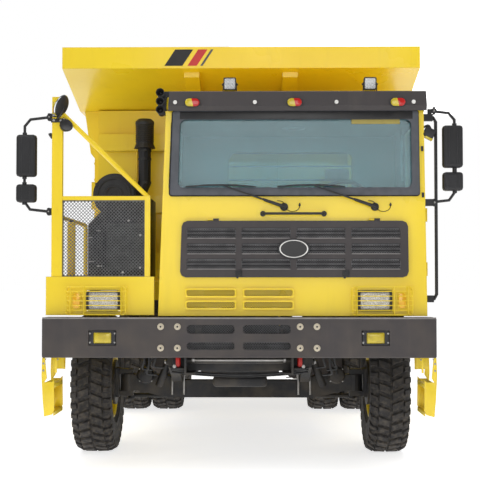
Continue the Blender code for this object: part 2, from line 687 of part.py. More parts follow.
def tanks():
    inner = RAIL_OUTER + GAP
    y_front = FRONT_AXLE_Y + 1.06
    y_back = MIDDLE_AXLE_Y - TYRE_RADIUS - 0.30
    outline = rounded((inner, TANK_BOTTOM), (inner + TANK_DEPTH, TANK_TOP), 0.08)
    fuel = plate(outline, y_front, y_back, "Y")
    neck = (inner + TANK_DEPTH - 0.14, y_front + 0.35)
    join(fuel, rod((*neck, TANK_TOP - 0.01), (*neck, TANK_TOP + 0.05), 0.05, sides=12))
    keep(fuel, "fuel_tank", DARK)
    mirrored = [(-x, z) for x, z in outline]
    oil = plate(mirrored, y_back - 0.85, y_back, "Y")
    keep(join(oil, rod((-neck[0], y_back - 0.4, TANK_TOP - 0.01), (-neck[0], y_back - 0.4, TANK_TOP + 0.05),
                       0.06, sides=12)), "hydraulic_tank", DARK)
    box = rounded_block((-inner - 0.52, y_front, TANK_BOTTOM + 0.12), (-inner, y_front + 0.62, TANK_TOP), 0.02)
    keep(box, "battery_box", DARK)


def step(name, side):
    top = BUMPER_BOTTOM - GAP
    profile = [(STEP_INNER, top), (STEP_OUTER - 0.02, top), (STEP_OUTER, top - 0.10),
               (STEP_OUTER - 0.03, STEP_BOTTOM), (STEP_INNER + 0.02, STEP_BOTTOM), (STEP_INNER, top - 0.2)]
    profile = [(side * x, z) for x, z in profile]
    y = FRONT + 0.03
    ladder = plate(profile, y, y + STEP_PLATE, "Y")
    join(ladder, plate(profile, y + STEP_WIDTH, y + STEP_WIDTH + STEP_PLATE, "Y"))
    for z in TREAD_HEIGHTS:
        join(ladder, side_block(side, STEP_INNER + 0.025, STEP_OUTER - 0.035, y + 0.01,
                                y + STEP_WIDTH + 0.02, z, z + 0.025))
    keep(ladder, "step_" + name, YELLOW)


# A wall block of the cab, or an opening in one, follows the cab's lean.
def cab_block(low, high):
    return lean(block(low, high))


def cab_opening(low, high, radius, y_low, y_high):
    return lean(plate(rounded(low, high, radius), y_low, y_high, "Y"))


def side_opening(y_low, y_high, z_low, z_high, x_low, x_high, radius=0.05):
    return lean(plate(rounded((y_low, z_low), (y_high, z_high), radius), x_low, x_high, "X"))


def shrink(low, high, by):
    return (low[0] + by, low[1] + by), (high[0] - by, high[1] - by)


def cab_front():
    back = CAB_FRONT + CAB_FRONT_WALL
    top = CAB_WALL_TOP - GAP
    front = cab_block((CAB_RIGHT, CAB_FRONT, CAB_BOTTOM), (CAB_LEFT, back, top))
    for low, high in ((CAB_RIGHT, CAB_RIGHT + CAB_WALL), (CAB_LEFT - CAB_WALL, CAB_LEFT)):
        join(front, cab_block((low, back - 0.03, CAB_BOTTOM), (high, DOOR_FRONT - DOOR_GAP, top)))
    through = (CAB_FRONT - 0.1, back + 0.1)
    cut(front, cab_opening((SCREEN_RIGHT, SCREEN_BOTTOM), (SCREEN_LEFT, SCREEN_TOP), 0.07, *through))
    cut(front, block((LAMP_INNER, through[0], LAMP_BOTTOM), (LAMP_OUTER, through[1], LAMP_TOP)))
    cut(front, block((FLAP_RIGHT + 0.03, through[0], FLAP_BOTTOM + 0.03),
                     (FLAP_LEFT - 0.03, CAB_FRONT + 0.035, FLAP_TOP - 0.03)))
    width, height = LOWER_SLOT_SIZE
    for x_low in LOWER_SLOTS_X:
        for z_low in LOWER_SLOTS_Z:
            slot = rounded((x_low, z_low), (x_low + width, z_low + height), 0.02, 1)
            cut(front, plate(slot, *through, "Y"))
    # Barrels of the flap's hinge and of the door's hinge
    for x in FLAP_HINGES:
        join(front, rod((x, FLAP_AXIS_Y, FLAP_AXIS_Z), (x + 0.05, FLAP_AXIS_Y, FLAP_AXIS_Z),
                        FLAP_HINGE_RADIUS, sides=10),
             block((x, FLAP_AXIS_Y, FLAP_AXIS_Z - 0.004), (x + 0.05, CAB_FRONT + 0.02, FLAP_AXIS_Z + 0.004)))
    for z in DOOR_HINGES:
        high = z + HINGE_LENGTH
        join(front, rod((DOOR_AXIS_X, DOOR_AXIS_Y, z), (DOOR_AXIS_X, DOOR_AXIS_Y, high), HINGE_RADIUS, sides=10),
             block((leaned(CAB_LEFT, z) - 0.01, DOOR_AXIS_Y - 0.05, z), (DOOR_AXIS_X, DOOR_AXIS_Y - 0.006, high)))
    keep(front, "cab_front", YELLOW)


def grille_flap():
    hinge = pivot("flap_hinge", ((FLAP_LEFT + FLAP_RIGHT) / 2, FLAP_AXIS_Y, FLAP_AXIS_Z))
    outline = rounded((FLAP_RIGHT, FLAP_BOTTOM), (FLAP_LEFT, FLAP_TOP), 0.05)
    back = CAB_FRONT - 0.005
    flap = lean(plate(outline, back - FLAP_THICKNESS, back, "Y"))
    # Rows of recessed slots
    width, height = FLAP_SLOT_SIZE
    for z_low in FLAP_SLOT_ROWS:
        for column in range(4):
            x_low = FLAP_SLOT_START + column * FLAP_SLOT_STEP
            pocket = rounded((x_low, z_low), (x_low + width, z_low + height), 0.02, 1)
            cut(flap, plate(pocket, back - FLAP_THICKNESS - 0.01, back - 0.008, "Y"))
    for x in FLAP_HINGES:
        low, high = x + 0.05 + GAP, x + 0.10
        join(flap, rod((low, FLAP_AXIS_Y, FLAP_AXIS_Z), (high, FLAP_AXIS_Y, FLAP_AXIS_Z),
                       FLAP_HINGE_RADIUS, sides=10),
             block((low, FLAP_AXIS_Y - 0.008, FLAP_TOP - 0.01), (high, FLAP_AXIS_Y + 0.004, FLAP_AXIS_Z)))
    keep(flap, "grille_flap", DARK, hinge)


def cab_rear():
    top = CAB_WALL_TOP - GAP
    inside = CAB_BACK - CAB_FRONT_WALL
    rear = cab_block((CAB_RIGHT, inside, CAB_FLOOR_BOTTOM), (CAB_LEFT, CAB_BACK, top))
    for low, high in ((CAB_RIGHT, CAB_RIGHT + CAB_WALL), (CAB_LEFT - CAB_WALL, CAB_LEFT)):
        join(rear, cab_block((low, DOOR_BACK + DOOR_GAP, CAB_FLOOR_BOTTOM), (high, inside + 0.03, top)))
    cut(rear, cab_opening(REAR_WINDOW_LOW, REAR_WINDOW_HIGH, 0.08, inside - 0.1, CAB_BACK + 0.1))
    keep(rear, "cab_rear", YELLOW)


def side_window(inset):
    return (DOOR_FRONT + 0.09 + inset, DOOR_BACK - 0.08 - inset,
            DOOR_WINDOW_BOTTOM + inset, CAB_WALL_TOP - 0.09 - inset)


def cab_side_right():
    side = cab_block((CAB_RIGHT, DOOR_FRONT - DOOR_GAP + GAP, CAB_FLOOR_BOTTOM),
                     (CAB_RIGHT + CAB_WALL, DOOR_BACK + DOOR_GAP - GAP, CAB_WALL_TOP - GAP))
    cut(side, side_opening(*side_window(0.0), CAB_RIGHT - 0.1, CAB_RIGHT + 0.2))
    keep(side, "cab_side_right", YELLOW)
    pane = side_opening(*side_window(FIT), CAB_RIGHT + 0.015, CAB_RIGHT + 0.015 + GLASS)
    keep(pane, "side_glass_right", GLAZING)


def door_left():
    hinge = pivot("door_hinge", (DOOR_AXIS_X, DOOR_AXIS_Y, DOOR_HINGES[0]))
    door = cab_block((CAB_LEFT - CAB_WALL, DOOR_FRONT, CAB_FLOOR_BOTTOM - 0.03),
                     (CAB_LEFT, DOOR_BACK, CAB_WALL_TOP - DOOR_GAP))
    cut(door, side_opening(*side_window(0.0), CAB_LEFT - 0.2, CAB_LEFT + 0.1))
    for z in DOOR_HINGES:
        low, high = z + HINGE_LENGTH + GAP, z + 2 * HINGE_LENGTH
        join(door, rod((DOOR_AXIS_X, DOOR_AXIS_Y, low), (DOOR_AXIS_X, DOOR_AXIS_Y, high), HINGE_RADIUS, sides=10),
             block((leaned(CAB_LEFT, z) - 0.01, DOOR_AXIS_Y + 0.006, low),
                   (DOOR_AXIS_X, DOOR_AXIS_Y + 0.06, high)))
    keep(door, "door_left", YELLOW, hinge)
    pane = side_opening(*side_window(FIT), CAB_LEFT - 0.035, CAB_LEFT - 0.035 + GLASS)
    keep(pane, "door_glass_left", GLAZING, hinge)


def cab_floor():
    floor = cab_block((CAB_RIGHT + CAB_WALL + GAP, CAB_FRONT + CAB_FRONT_WALL + GAP, CAB_FLOOR_BOTTOM),
                      (CAB_LEFT - CAB_WALL - DOOR_GAP, CAB_BACK - CAB_FRONT_WALL - GAP, CAB_FLOOR_TOP))
    for x in SEAT_PLACES:
        join(floor, block((x - 0.19, SEAT_Y - 0.19, CAB_FLOOR_TOP - 0.01), (x + 0.19, SEAT_Y + 0.19, SEAT_BASE)))
    keep(floor, "cab_floor", DARK)


def cab_roof():
    roof = cab_block((CAB_RIGHT, CAB_FRONT, CAB_WALL_TOP), (CAB_LEFT, CAB_BACK, CAB_ROOF_TOP))
    bevel = roof.modifiers.new("edges", "BEVEL")
    bevel.width = 0.03
    bevel.segments = 2
    bevel.limit_method = "NONE"
    keep(roof, "cab_roof", YELLOW)


def visor():
    y = CAB_FRONT - GAP
    outline = [(y, CAB_WALL_TOP), (y - 0.06, CAB_WALL_TOP - 0.01), (FRONT + 0.012, CAB_WALL_TOP + 0.03),
               (FRONT + 0.05, CAB_ROOF_TOP + 0.03), (y - 0.01, CAB_ROOF_TOP + 0.04), (y, CAB_ROOF_TOP)]
    keep(lean(plate(outline, -0.68, 1.66, "X")), "visor", DARK)


def cab_glass():
    y = CAB_FRONT + 0.012
    low, high = shrink((SCREEN_RIGHT, SCREEN_BOTTOM), (SCREEN_LEFT, SCREEN_TOP), FIT)
    keep(cab_opening(low, high, 0.07, y, y + GLASS), "windshield", GLAZING)
    low, high = shrink(REAR_WINDOW_LOW, REAR_WINDOW_HIGH, FIT)
    y = CAB_BACK - REAR_GLASS_SETBACK
    keep(cab_opening(low, high, 0.08, y, y + GLASS), "rear_glass", GLAZING)


def dashboard():
    back = CAB_FRONT + CAB_FRONT_WALL + GAP
    panel = rounded_block((CAB_RIGHT + CAB_WALL + 0.05, back, 1.98),
                          (CAB_LEFT - CAB_WALL - 0.06, back + 0.28, 2.38), 0.03)
    # Steering column, and a wheel tilted back towards the driver
    tilt = Matrix.Rotation(math.radians(-35), 4, "X")
    axis = (tilt @ Vector((0, 0, 1, 0))).to_3d()
    reach = STEERING_RING
    ring = [(reach + 0.016 * math.cos(-a), 0.016 * math.sin(-a)) for a in (k * math.pi / 3 for k in range(6))]
    place = Matrix.Translation(WHEEL_CENTRE) @ tilt
    join(panel, rod(WHEEL_CENTRE - axis * 0.42, WHEEL_CENTRE + axis * 0.01, 0.03, sides=10),
         turned(ring, place, steps=20, closed=True),
         rod(WHEEL_CENTRE - Vector((reach, 0, 0)), WHEEL_CENTRE + Vector((reach, 0, 0)), 0.012, sides=8))
    keep(panel, "dashboard", TRIM)


def seat(name, x, headrest):
    low = SEAT_BASE + GAP
    shape = rounded_block((x - 0.25, SEAT_Y - 0.27, low), (x + 0.25, SEAT_Y + 0.25, low + 0.13), 0.03)
    top = low + BACKREST_HEIGHT
    join(shape, rounded_block((x - 0.24, SEAT_Y + 0.13, low + 0.06), (x + 0.24, SEAT_Y + 0.27, top), 0.03))
    if headrest:
        join(shape, block((x - 0.05, SEAT_Y + 0.17, top - 0.03), (x + 0.05, SEAT_Y + 0.21, top + 0.06)),
             rounded_block((x - 0.14, SEAT_Y + 0.14, top + 0.03), (x + 0.14, SEAT_Y + 0.25, top + 0.19), 0.03))
    keep(shape, name, SEAT)


def headlamp(name, side):
    x_low, x_high = ordered(side * LAMP_INNER, side * LAMP_OUTER)
    low, high = shrink((x_low, LAMP_BOTTOM), (x_high, LAMP_TOP), FIT)
    lamp = block((low[0], CAB_FRONT - 0.02, low[1]), (high[0], CAB_FRONT + 0.055, high[1]))
    keep(lamp, "headlamp_" + name, LENS)


def platform():
    low, back = PLATFORM_TOP - PLATFORM_PLATE, CAB_FRONT + PLATFORM_LENGTH
    deck = block((PLATFORM_OUTER, CAB_FRONT, low), (PLATFORM_INNER, back, PLATFORM_TOP))
    join(deck, block((PLATFORM_OUTER, CAB_FRONT, CAB_BOTTOM + 0.007),
                     (PLATFORM_INNER, CAB_FRONT + PLATFORM_PLATE, PLATFORM_TOP - 0.01)),
         block((PLATFORM_OUTER, CAB_FRONT + 0.01, 1.50), (PLATFORM_OUTER + 0.03, back, PLATFORM_TOP - 0.01)))
    cut(deck, block((-LAMP_OUTER, CAB_FRONT - 0.1, LAMP_BOTTOM), (-LAMP_INNER, CAB_FRONT + 0.2, LAMP_TOP)))
    keep(deck, "platform", YELLOW)


def guard():
    y_low, y_high = CAB_FRONT + 0.005, CAB_FRONT + 0.005 + BAR
    base = PLATFORM_TOP + GAP
    mast_x = PLATFORM_OUTER + 0.045
    post_x = PLATFORM_INNER - 0.084
    middle_y = (y_low + y_high) / 2
    frame_shape = block((mast_x, y_low, base), (mast_x + MAST_WIDTH, y_high, MAST_TOP))
    rear_y = CAB_FRONT + PLATFORM_LENGTH - 0.10
    rail_x, rail_z = mast_x + 0.03, SIDE_RAIL_HEIGHT
    side_rail = [(rail_x, y_high - 0.02, rail_z), (rail_x, rear_y - 0.06, rail_z),
                 (rail_x, rear_y - 0.015, rail_z - 0.015), (rail_x, rear_y, rail_z - 0.06), (rail_x, rear_y, base)]
    join(frame_shape,
         block((post_x, y_low, base), (post_x + BAR, y_high, GUARD_TOP)),
         block((mast_x + 0.02, y_low + 0.003, GUARD_TOP - 0.039), (post_x + 0.02, y_high - 0.003, GUARD_TOP - 0.003)),
         rod((mast_x + MAST_WIDTH / 2, middle_y, MAST_TOP - 0.103), (post_x + BAR / 2, middle_y, GUARD_TOP - 0.01),
             0.021, sides=8),
         tube(side_rail, SIDE_RAIL_RADIUS))
    keep(frame_shape, "guard_frame", YELLOW)
    screen = block((mast_x + MAST_WIDTH + FIT, y_low + 0.018, base),
                   (post_x - FIT, y_low + 0.026, GUARD_TOP - 0.039 - FIT))
    keep(screen, "guard_mesh", MESH)


def cooling_pack():
    base = PLATFORM_TOP + GAP
    y = CAB_FRONT + 0.25
    outline = [(-1.49, base), (-0.80, base), (-0.80, 2.23), (-1.05, 2.23), (-1.15, 2.44), (-1.37, 2.44),
               (-1.49, 2.30)]
    keep(plate(outline, y, y + 0.55, "Y"), "cooling_pack", BLACK)


def air_cleaner():
    base = PLATFORM_TOP + GAP
    x, z, y = -1.287, 2.55, CAB_BACK - 0.27
    drum = rod((x, y, z), (x, y + 0.52, z), 0.21, sides=20)
    snorkel_x, snorkel_y = -0.99, y + 0.13
    cap = [(0.0, 0.30), (0.07, 0.30), (0.09, 0.27), (0.09, 0.05), (0.11, 0.0), (0.0, 0.0)]
    join(drum, block((x - 0.15, y + 0.14, base), (x + 0.15, y + 0.38, z - 0.12)),
         tube([(x, y + 0.13, z), (x + 0.12, y + 0.13, z + 0.02), (snorkel_x - 0.03, snorkel_y, z + 0.04),
               (snorkel_x, snorkel_y, z + 0.12), (snorkel_x, snorkel_y, 3.06)], 0.065, 3),
         turned(cap, Matrix.Translation((snorkel_x, snorkel_y, 3.03)), steps=16))
    keep(drum, "air_cleaner", BLACK)


# Mirror arm with a tall and a short head, on the cab's corner or on the mast.
def mirrors(side, root, arm_top, arm_low, big, small):
    y = MIRROR_Y
    stem = MIRROR_REACH - 0.07
    arm = tube([(side * root, y, arm_top), (side * (stem - 0.05), y, arm_top - 0.02),
                (side * stem, y, arm_top - 0.08), (side * stem, y, arm_low + 0.09),
                (side * (stem - 0.05), y, arm_low + 0.02), (side * root, y, arm_low)], MIRROR_ARM_RADIUS)
    inner, outer = MIRROR_REACH - MIRROR_WIDTH, MIRROR_REACH
    for low, high in (big, small):
        x_low, x_high = ordered(side * inner, side * outer)
        join(arm, rounded_block((x_low, y - 0.045, low), (x_high, y + 0.055, high), 0.025))
    return arm


def both_mirrors():
    clamp_top, clamp_low = 3.169, 2.362
    left = mirrors(1, 1.66, clamp_top, clamp_low, (2.667, 3.038), (2.464, 2.628))
    y = MIRROR_Y
    for z in (clamp_top - 0.06, clamp_low, 1.52):
        face = leaned(CAB_LEFT, z - 0.03) + FIT
        join(left, block((face, y - 0.025, z - 0.03), (1.70, y + 0.025, z + 0.03)))
    rail_x = 1.726
    join(left, tube([(1.69, y, clamp_top - 0.07), (rail_x - 0.02, y, clamp_top - 0.06), (rail_x, y, clamp_top - 0.10),
                     (rail_x, y, 1.56), (rail_x - 0.02, y, 1.52), (1.69, y, 1.52)], 0.015),
         block((1.655, y - 0.015, clamp_top - 0.06), (1.69, y + 0.015, clamp_top + 0.015)))
    keep(left, "mirrors_left", BLACK)
    mast_face = -PLATFORM_OUTER - 0.045 + FIT
    clamp_top, clamp_low = 3.12, 2.285
    right = mirrors(-1, mast_face + 0.02, clamp_top, clamp_low, (2.593, 2.964), (2.366, 2.526))
    for z in (clamp_top, clamp_low):
        join(right, block((-mast_face - 0.04, y - 0.022, z - 0.03), (-mast_face, y + 0.022, z + 0.03)))
    keep(right, "mirrors_right", BLACK)


def bed_floor(hinge):
    half = BED_HALF_FLOOR
    under = CHINE_TOP - 0.03
    section = [(-half - 0.02, BED_BOTTOM), (half + 0.02, BED_BOTTOM), (BED_OUTER, under), (BED_OUTER, CHINE_TOP),
               (BED_INNER, CHINE_TOP), (half, BED_FLOOR_TOP), (-half, BED_FLOOR_TOP), (-BED_INNER, CHINE_TOP),
               (-BED_OUTER, CHINE_TOP), (-BED_OUTER, under)]
    floor = plate(section, BED_INSIDE, TAIL_Y, "Y")
    tail = plate(section, TAIL_Y, REAR, "Y")
    for vertex in tail.data.vertices:
        if (tail.matrix_world @ vertex.co).y > (TAIL_Y + REAR) / 2:
            vertex.co = tail.matrix_world.inverted() @ (tail.matrix_world @ vertex.co + Vector((0, 0, BED_TAIL_RISE)))
    join(floor, tail)
    # Two long rails that rest on the chassis, round at the hinge
    curve = [(HINGE_Y + HINGE_RISE * math.sin(a), HINGE_Z - HINGE_RISE * math.cos(a))
             for a in (math.radians(15 * k) for k in range(7))]
    outline = [(BED_FRONT + 0.10, BED_RAIL_BOTTOM)] + curve + [(HINGE_Y + HINGE_RISE, BED_BOTTOM + 0.01),
                                                              (BED_FRONT + 0.10, BED_BOTTOM + 0.01)]
    for side in (-1, 1):
        x_low, x_high = ordered(side * RAIL_INNER, side * RAIL_OUTER)
        join(floor, plate(outline, x_low, x_high, "X"))
        join(floor, side_block(side, 0.062, 0.10, HINGE_Y - HOIST_EYE_BACK - 0.06, HINGE_Y - HOIST_EYE_BACK + 0.06,
                               HINGE_Z + HOIST_EYE_RISE - 0.05, BED_BOTTOM + 0.01))
    rib = block((-half, BED_FRONT + 0.4, BED_BOTTOM - 0.07), (half, BED_FRONT + 0.5, BED_BOTTOM + 0.01))
    join(floor, repeat(rib, 5, (0, 1.08, 0)))
    cut(floor, bore((-1, HINGE_Y, HINGE_Z), (1, HINGE_Y, HINGE_Z), PIN_RADIUS))
    keep(floor, "bed_floor", YELLOW, hinge)


def bed_side(name, side, hinge):
    low = CHINE_TOP + GAP
    outline = [(BED_INSIDE, low), (TAIL_Y, low), (REAR, low + BED_TAIL_RISE), (REAR, BED_TOP - 0.6),
               (REAR - 0.6, BED_TOP - GAP), (BED_INSIDE, BED_TOP - GAP)]
    x_low, x_high = ordered(side * BED_INNER, side * BED_OUTER)
    wall = plate(outline, x_low, x_high, "X")
    lap = BED_OUTER - 0.01
    cap = [(lap, BED_TOP - GAP), (1.694, BED_TOP - GAP), (1.63, 3.05), (lap, 2.92)]
    join(wall, plate([(side * x, z) for x, z in cap], BED_INSIDE, REAR - 0.6, "Y"),
         side_block(side, lap, 1.62, BED_INSIDE, REAR - 0.15, 2.45, 2.74),
         side_block(side, lap, 1.60, BED_INSIDE, TAIL_Y, low, low + 0.14))
    spacing = (REAR - 0.75 - BED_INSIDE) / BED_RIBS
    x_low, x_high = ordered(side * lap, side * 1.635)
    rib = block((x_low, BED_INSIDE + 0.35, low + 0.02), (x_high, BED_INSIDE + 0.47, 3.10))
    join(wall, repeat(rib, BED_RIBS - 1, (0, spacing, 0)))
    keep(wall, "bed_side_" + name, YELLOW, hinge)


def bed_front(hinge):
    half = BED_HALF_FLOOR + 0.02
    outline = [(-half, BED_BOTTOM), (half, BED_BOTTOM), (BED_OUTER, CHINE_TOP - 0.03), (BED_OUTER, BED_TOP - GAP),
               (-BED_OUTER, BED_TOP - GAP), (-BED_OUTER, CHINE_TOP - 0.03)]
    wall = plate(outline, BED_FRONT, BED_FRONT + BED_WALL, "Y")
    for low, high in BED_STIFFENERS:
        join(wall, block((-BED_OUTER + 0.01, BED_FRONT - 0.08, low), (BED_OUTER - 0.01, BED_FRONT + 0.01, high)))
    keep(wall, "bed_front", YELLOW, hinge)


def bed_canopy(hinge):
    lip = BED_FRONT - CANOPY_REACH
    back, seat_z = BED_INSIDE, BED_TOP
    pan = [(back, seat_z), (lip, CANOPY_LIP_BOTTOM), (lip, CANOPY_LIP_TOP), (lip + 0.08, CANOPY_LIP_TOP),
           (lip + 0.08, CANOPY_LIP_BOTTOM + 0.035), (back, seat_z + 0.055)]
    canopy = plate(pan, -CANOPY_PAN_HALF, CANOPY_PAN_HALF, "X")
    gusset = [(back, seat_z), (back + 1.10, seat_z), (back + 1.10, seat_z + 0.06), (lip + 0.60, CANOPY_LIP_TOP),
              (lip, CANOPY_LIP_TOP), (lip, CANOPY_LIP_BOTTOM)]
    slope = (CANOPY_LIP_BOTTOM - seat_z) / (lip - back)
    rib = [(back - 0.10, seat_z - 0.10 * slope + 0.01), (lip + 0.10, CANOPY_LIP_BOTTOM + 0.10 * slope + 0.01),
           (lip + 0.10, CANOPY_LIP_BOTTOM + 0.10 * slope - 0.05), (back - 0.10, seat_z - 0.10 * slope - 0.07)]
    for side in (-1, 1):
        x_low, x_high = ordered(side * CANOPY_GUSSET_INNER, side * CANOPY_HALF_WIDTH)
        join(canopy, plate(gusset, x_low, x_high, "X"))
        x_low, x_high = ordered(*(side * x for x in CANOPY_RIBS))
        join(canopy, plate(rib, x_low, x_high, "X"))
    keep(canopy, "bed_canopy", YELLOW, hinge)


# The hoist lies between the rails, from the chassis foot to the eye under the bed.
def hoist():
    foot = Vector((0, HINGE_Y - HOIST_FOOT_BACK, HINGE_Z - HOIST_FOOT_DROP))
    eye = Vector((0, HINGE_Y - HOIST_EYE_BACK, HINGE_Z + HOIST_EYE_RISE))
    along = (eye - foot).normalized()
    swing = pivot("hoist_foot", foot)
    barrel = rod(foot + along * 0.10, foot + along * BARREL_LENGTH, BARREL_RADIUS)
    join(barrel, rod(foot, foot + along * 0.12, 0.05, sides=12),
         rod(foot - Vector((0.055, 0, 0)), foot + Vector((0.055, 0, 0)), 0.062))
    cut(barrel, rod(foot + along * 0.30, foot + along * (BARREL_LENGTH + 0.1), HOIST_ROD_RADIUS + GAP),
        bore(foot - Vector((0.2, 0, 0)), foot + Vector((0.2, 0, 0)), FOOT_PIN_RADIUS))
    keep(barrel, "hoist_barrel", BLACK, swing)
    slide = pivot("hoist_slide", eye)
    shaft = rod(foot + along * 0.34, eye, HOIST_ROD_RADIUS)
    join(shaft, rod(eye - Vector((0.055, 0, 0)), eye + Vector((0.055, 0, 0)), 0.058))
    keep(shaft, "hoist_rod", CHROME, slide)


frame()
front_bumper()
front_axle()
for wheel_name, wheel_side in (("left", 1), ("right", -1)):
    knuckle_and_front_wheel(wheel_name, wheel_side)
    rear_wheel("middle_wheel_" + wheel_name, wheel_side, MIDDLE_AXLE_Y)
    rear_wheel("rear_wheel_" + wheel_name, wheel_side, REAR_AXLE_Y)
    step(wheel_name, wheel_side)
    headlamp(wheel_name, wheel_side)
tie_rod()
rear_axle("middle_axle", MIDDLE_AXLE_Y, REAR_AXLE_Y)
rear_axle("rear_axle", REAR_AXLE_Y)
rear_suspension()
engine_and_driveline()
tanks()
cab_front()
grille_flap()
cab_rear()
cab_side_right()
door_left()
cab_floor()
cab_roof()
visor()
cab_glass()
dashboard()
seat("driver_seat", SEAT_PLACES[0], True)
seat("passenger_seat", SEAT_PLACES[1], False)
platform()
guard()
cooling_pack()
air_cleaner()
both_mirrors()
bed_hinge = pivot("bed_hinge", (0, HINGE_Y, HINGE_Z))
bed_floor(bed_hinge)
bed_side("left", 1, bed_hinge)
bed_side("right", -1, bed_hinge)
bed_front(bed_hinge)
bed_canopy(bed_hinge)
hoist()
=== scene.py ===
# Wide-body mining dump truck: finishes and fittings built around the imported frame.
import math
import bpy
import bmesh
from mathutils import Matrix, Vector


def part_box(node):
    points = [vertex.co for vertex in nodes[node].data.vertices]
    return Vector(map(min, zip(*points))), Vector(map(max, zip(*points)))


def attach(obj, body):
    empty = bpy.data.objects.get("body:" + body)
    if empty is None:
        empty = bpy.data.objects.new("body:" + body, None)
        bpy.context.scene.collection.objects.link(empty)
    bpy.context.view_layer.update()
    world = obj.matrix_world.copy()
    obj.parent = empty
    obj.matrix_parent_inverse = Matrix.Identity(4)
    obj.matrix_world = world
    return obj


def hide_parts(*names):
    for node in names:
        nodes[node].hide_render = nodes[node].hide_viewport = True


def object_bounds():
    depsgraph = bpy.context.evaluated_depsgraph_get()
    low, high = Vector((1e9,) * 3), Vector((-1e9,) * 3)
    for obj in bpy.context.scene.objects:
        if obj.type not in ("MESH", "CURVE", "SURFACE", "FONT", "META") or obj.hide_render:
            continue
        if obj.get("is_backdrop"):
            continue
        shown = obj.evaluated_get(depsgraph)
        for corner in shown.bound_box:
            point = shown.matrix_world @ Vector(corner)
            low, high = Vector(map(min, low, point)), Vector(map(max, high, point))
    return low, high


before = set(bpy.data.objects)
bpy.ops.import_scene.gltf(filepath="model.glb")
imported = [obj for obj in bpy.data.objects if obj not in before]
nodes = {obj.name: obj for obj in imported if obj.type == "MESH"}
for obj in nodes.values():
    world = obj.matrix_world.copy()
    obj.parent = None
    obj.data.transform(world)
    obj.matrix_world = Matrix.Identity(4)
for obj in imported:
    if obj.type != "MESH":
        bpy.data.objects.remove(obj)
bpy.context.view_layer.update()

scene = bpy.context.scene
bothSides = (("left", 1), ("right", -1))
print("frame loaded:", len(nodes), "nodes")

# Camera, light and floor
cameraLook = {"place": (0.164, -14.4, 1.667), "tilt": 92.08, "turn": 0.877, "lens": 86.7}
lightLook = {"world": 0.16, "key": 330.0, "fill": 140.0, "front": 200.0, "top": 1300.0, "back": 260.0,
    "cab": 6.0, "floor": (0.88, 0.88, 0.88), "floorGlow": 0.72, "floorNear": 5.0, "floorFar": 15.0}


def setStage():
    cameraData = bpy.data.cameras.new("camera")
    cameraData.lens = cameraLook["lens"]
    cameraData.sensor_width = 36.0
    camera = bpy.data.objects.new("camera", cameraData)
    camera.location = cameraLook["place"]
    camera.rotation_euler = (math.radians(cameraLook["tilt"]), 0.0, math.radians(cameraLook["turn"]))
    scene.collection.objects.link(camera)
    scene.camera = camera
    scene.view_settings.view_transform = "Standard"
    world = bpy.data.worlds.new("studio")
    world.use_nodes = True
    tree = world.node_tree
    sky = tree.nodes["Background"]
    sky.inputs["Color"].default_value = (1.0, 1.0, 1.0, 1.0)
    sky.inputs["Strength"].default_value = lightLook["world"]
    # The backdrop is brighter to the camera than to the truck
    seen = tree.nodes.new("ShaderNodeBackground")
    seen.inputs["Color"].default_value = (1.0, 1.0, 1.0, 1.0)
    chooser = tree.nodes.new("ShaderNodeMixShader")
    path = tree.nodes.new("ShaderNodeLightPath")
    tree.links.new(path.outputs["Is Camera Ray"], chooser.inputs[0])
    tree.links.new(sky.outputs[0], chooser.inputs[1])
    tree.links.new(seen.outputs[0], chooser.inputs[2])
    tree.links.new(chooser.outputs[0], tree.nodes["World Output"].inputs["Surface"])
    scene.world = world
    for name, place, aim, size, power in (("keyLight", (-7.0, -11.0, 9.5), (0, -2, 1.5), 6.0,
            lightLook["key"]), ("fillLight", (9.0, -9.0, 6.0), (0, -2, 1.8), 7.0, lightLook["fill"]),
            ("frontLight", (0.5, -15.0, 4.0), (0, -4, 1.6), 5.0, lightLook["front"]),
            ("topLight", (0.0, -2.5, 13.0), (0, -2.5, 0.0), 14.0, lightLook["top"]),
            ("cabLight", (0.45, -3.5, 3.12), (0.45, -3.5, 1.5), 1.2, lightLook["cab"]),
            ("rearLight", (3.0, 12.0, 9.0), (0, 2, 1.5), 8.0, lightLook["back"])):
        lamp = bpy.data.lights.new(name, "AREA")
        lamp.shape = "SQUARE"
        lamp.size = size
        lamp.energy = power
        light = bpy.data.objects.new(name, lamp)
        light.location = place
        light.rotation_euler = (Vector(aim) - Vector(place)).to_track_quat("-Z", "Y").to_euler()
        light.visible_camera = light.visible_transmission = light.visible_glossy = name != "cabLight"
        scene.collection.objects.link(light)


setStage()
print("camera and lights placed")


# Material tools. Every pattern lies on Object coordinates, in metres.
def startMaterial(name, metallic=0.0, ior=1.45):
    made = bpy.data.materials.new(name)
    made.use_nodes = True
    tree = made.node_tree
    shader = tree.nodes["Principled BSDF"]
    shader.inputs["Metallic"].default_value = metallic
    shader.inputs["IOR"].default_value = ior
    place = tree.nodes.new("ShaderNodeTexCoord").outputs["Object"]
    return made, tree, shader, place


def plug(tree, value, socket):
    if isinstance(value, bpy.types.NodeSocket):
        tree.links.new(value, socket)
    elif isinstance(value, (tuple, list)):
        socket.default_value = (*value,
            1.0) if len(value) == 3 and len(socket.default_value) == 4 else value
    else:
        socket.default_value = value


def mathOf(tree, operation, first, second=0.0):
    node = tree.nodes.new("ShaderNodeMath")
    node.operation = operation
    plug(tree, first, node.inputs[0])
    plug(tree, second, node.inputs[1])
    return node.outputs[0]


def rangeOf(tree, value, low, high, start=0.0, end=1.0):
    node = tree.nodes.new("ShaderNodeMapRange")
    plug(tree, value, node.inputs["Value"])
    for socket, number in (("From Min", low), ("From Max", high), ("To Min", start), ("To Max", end)):
        node.inputs[socket].default_value = number
    return node.outputs["Result"]


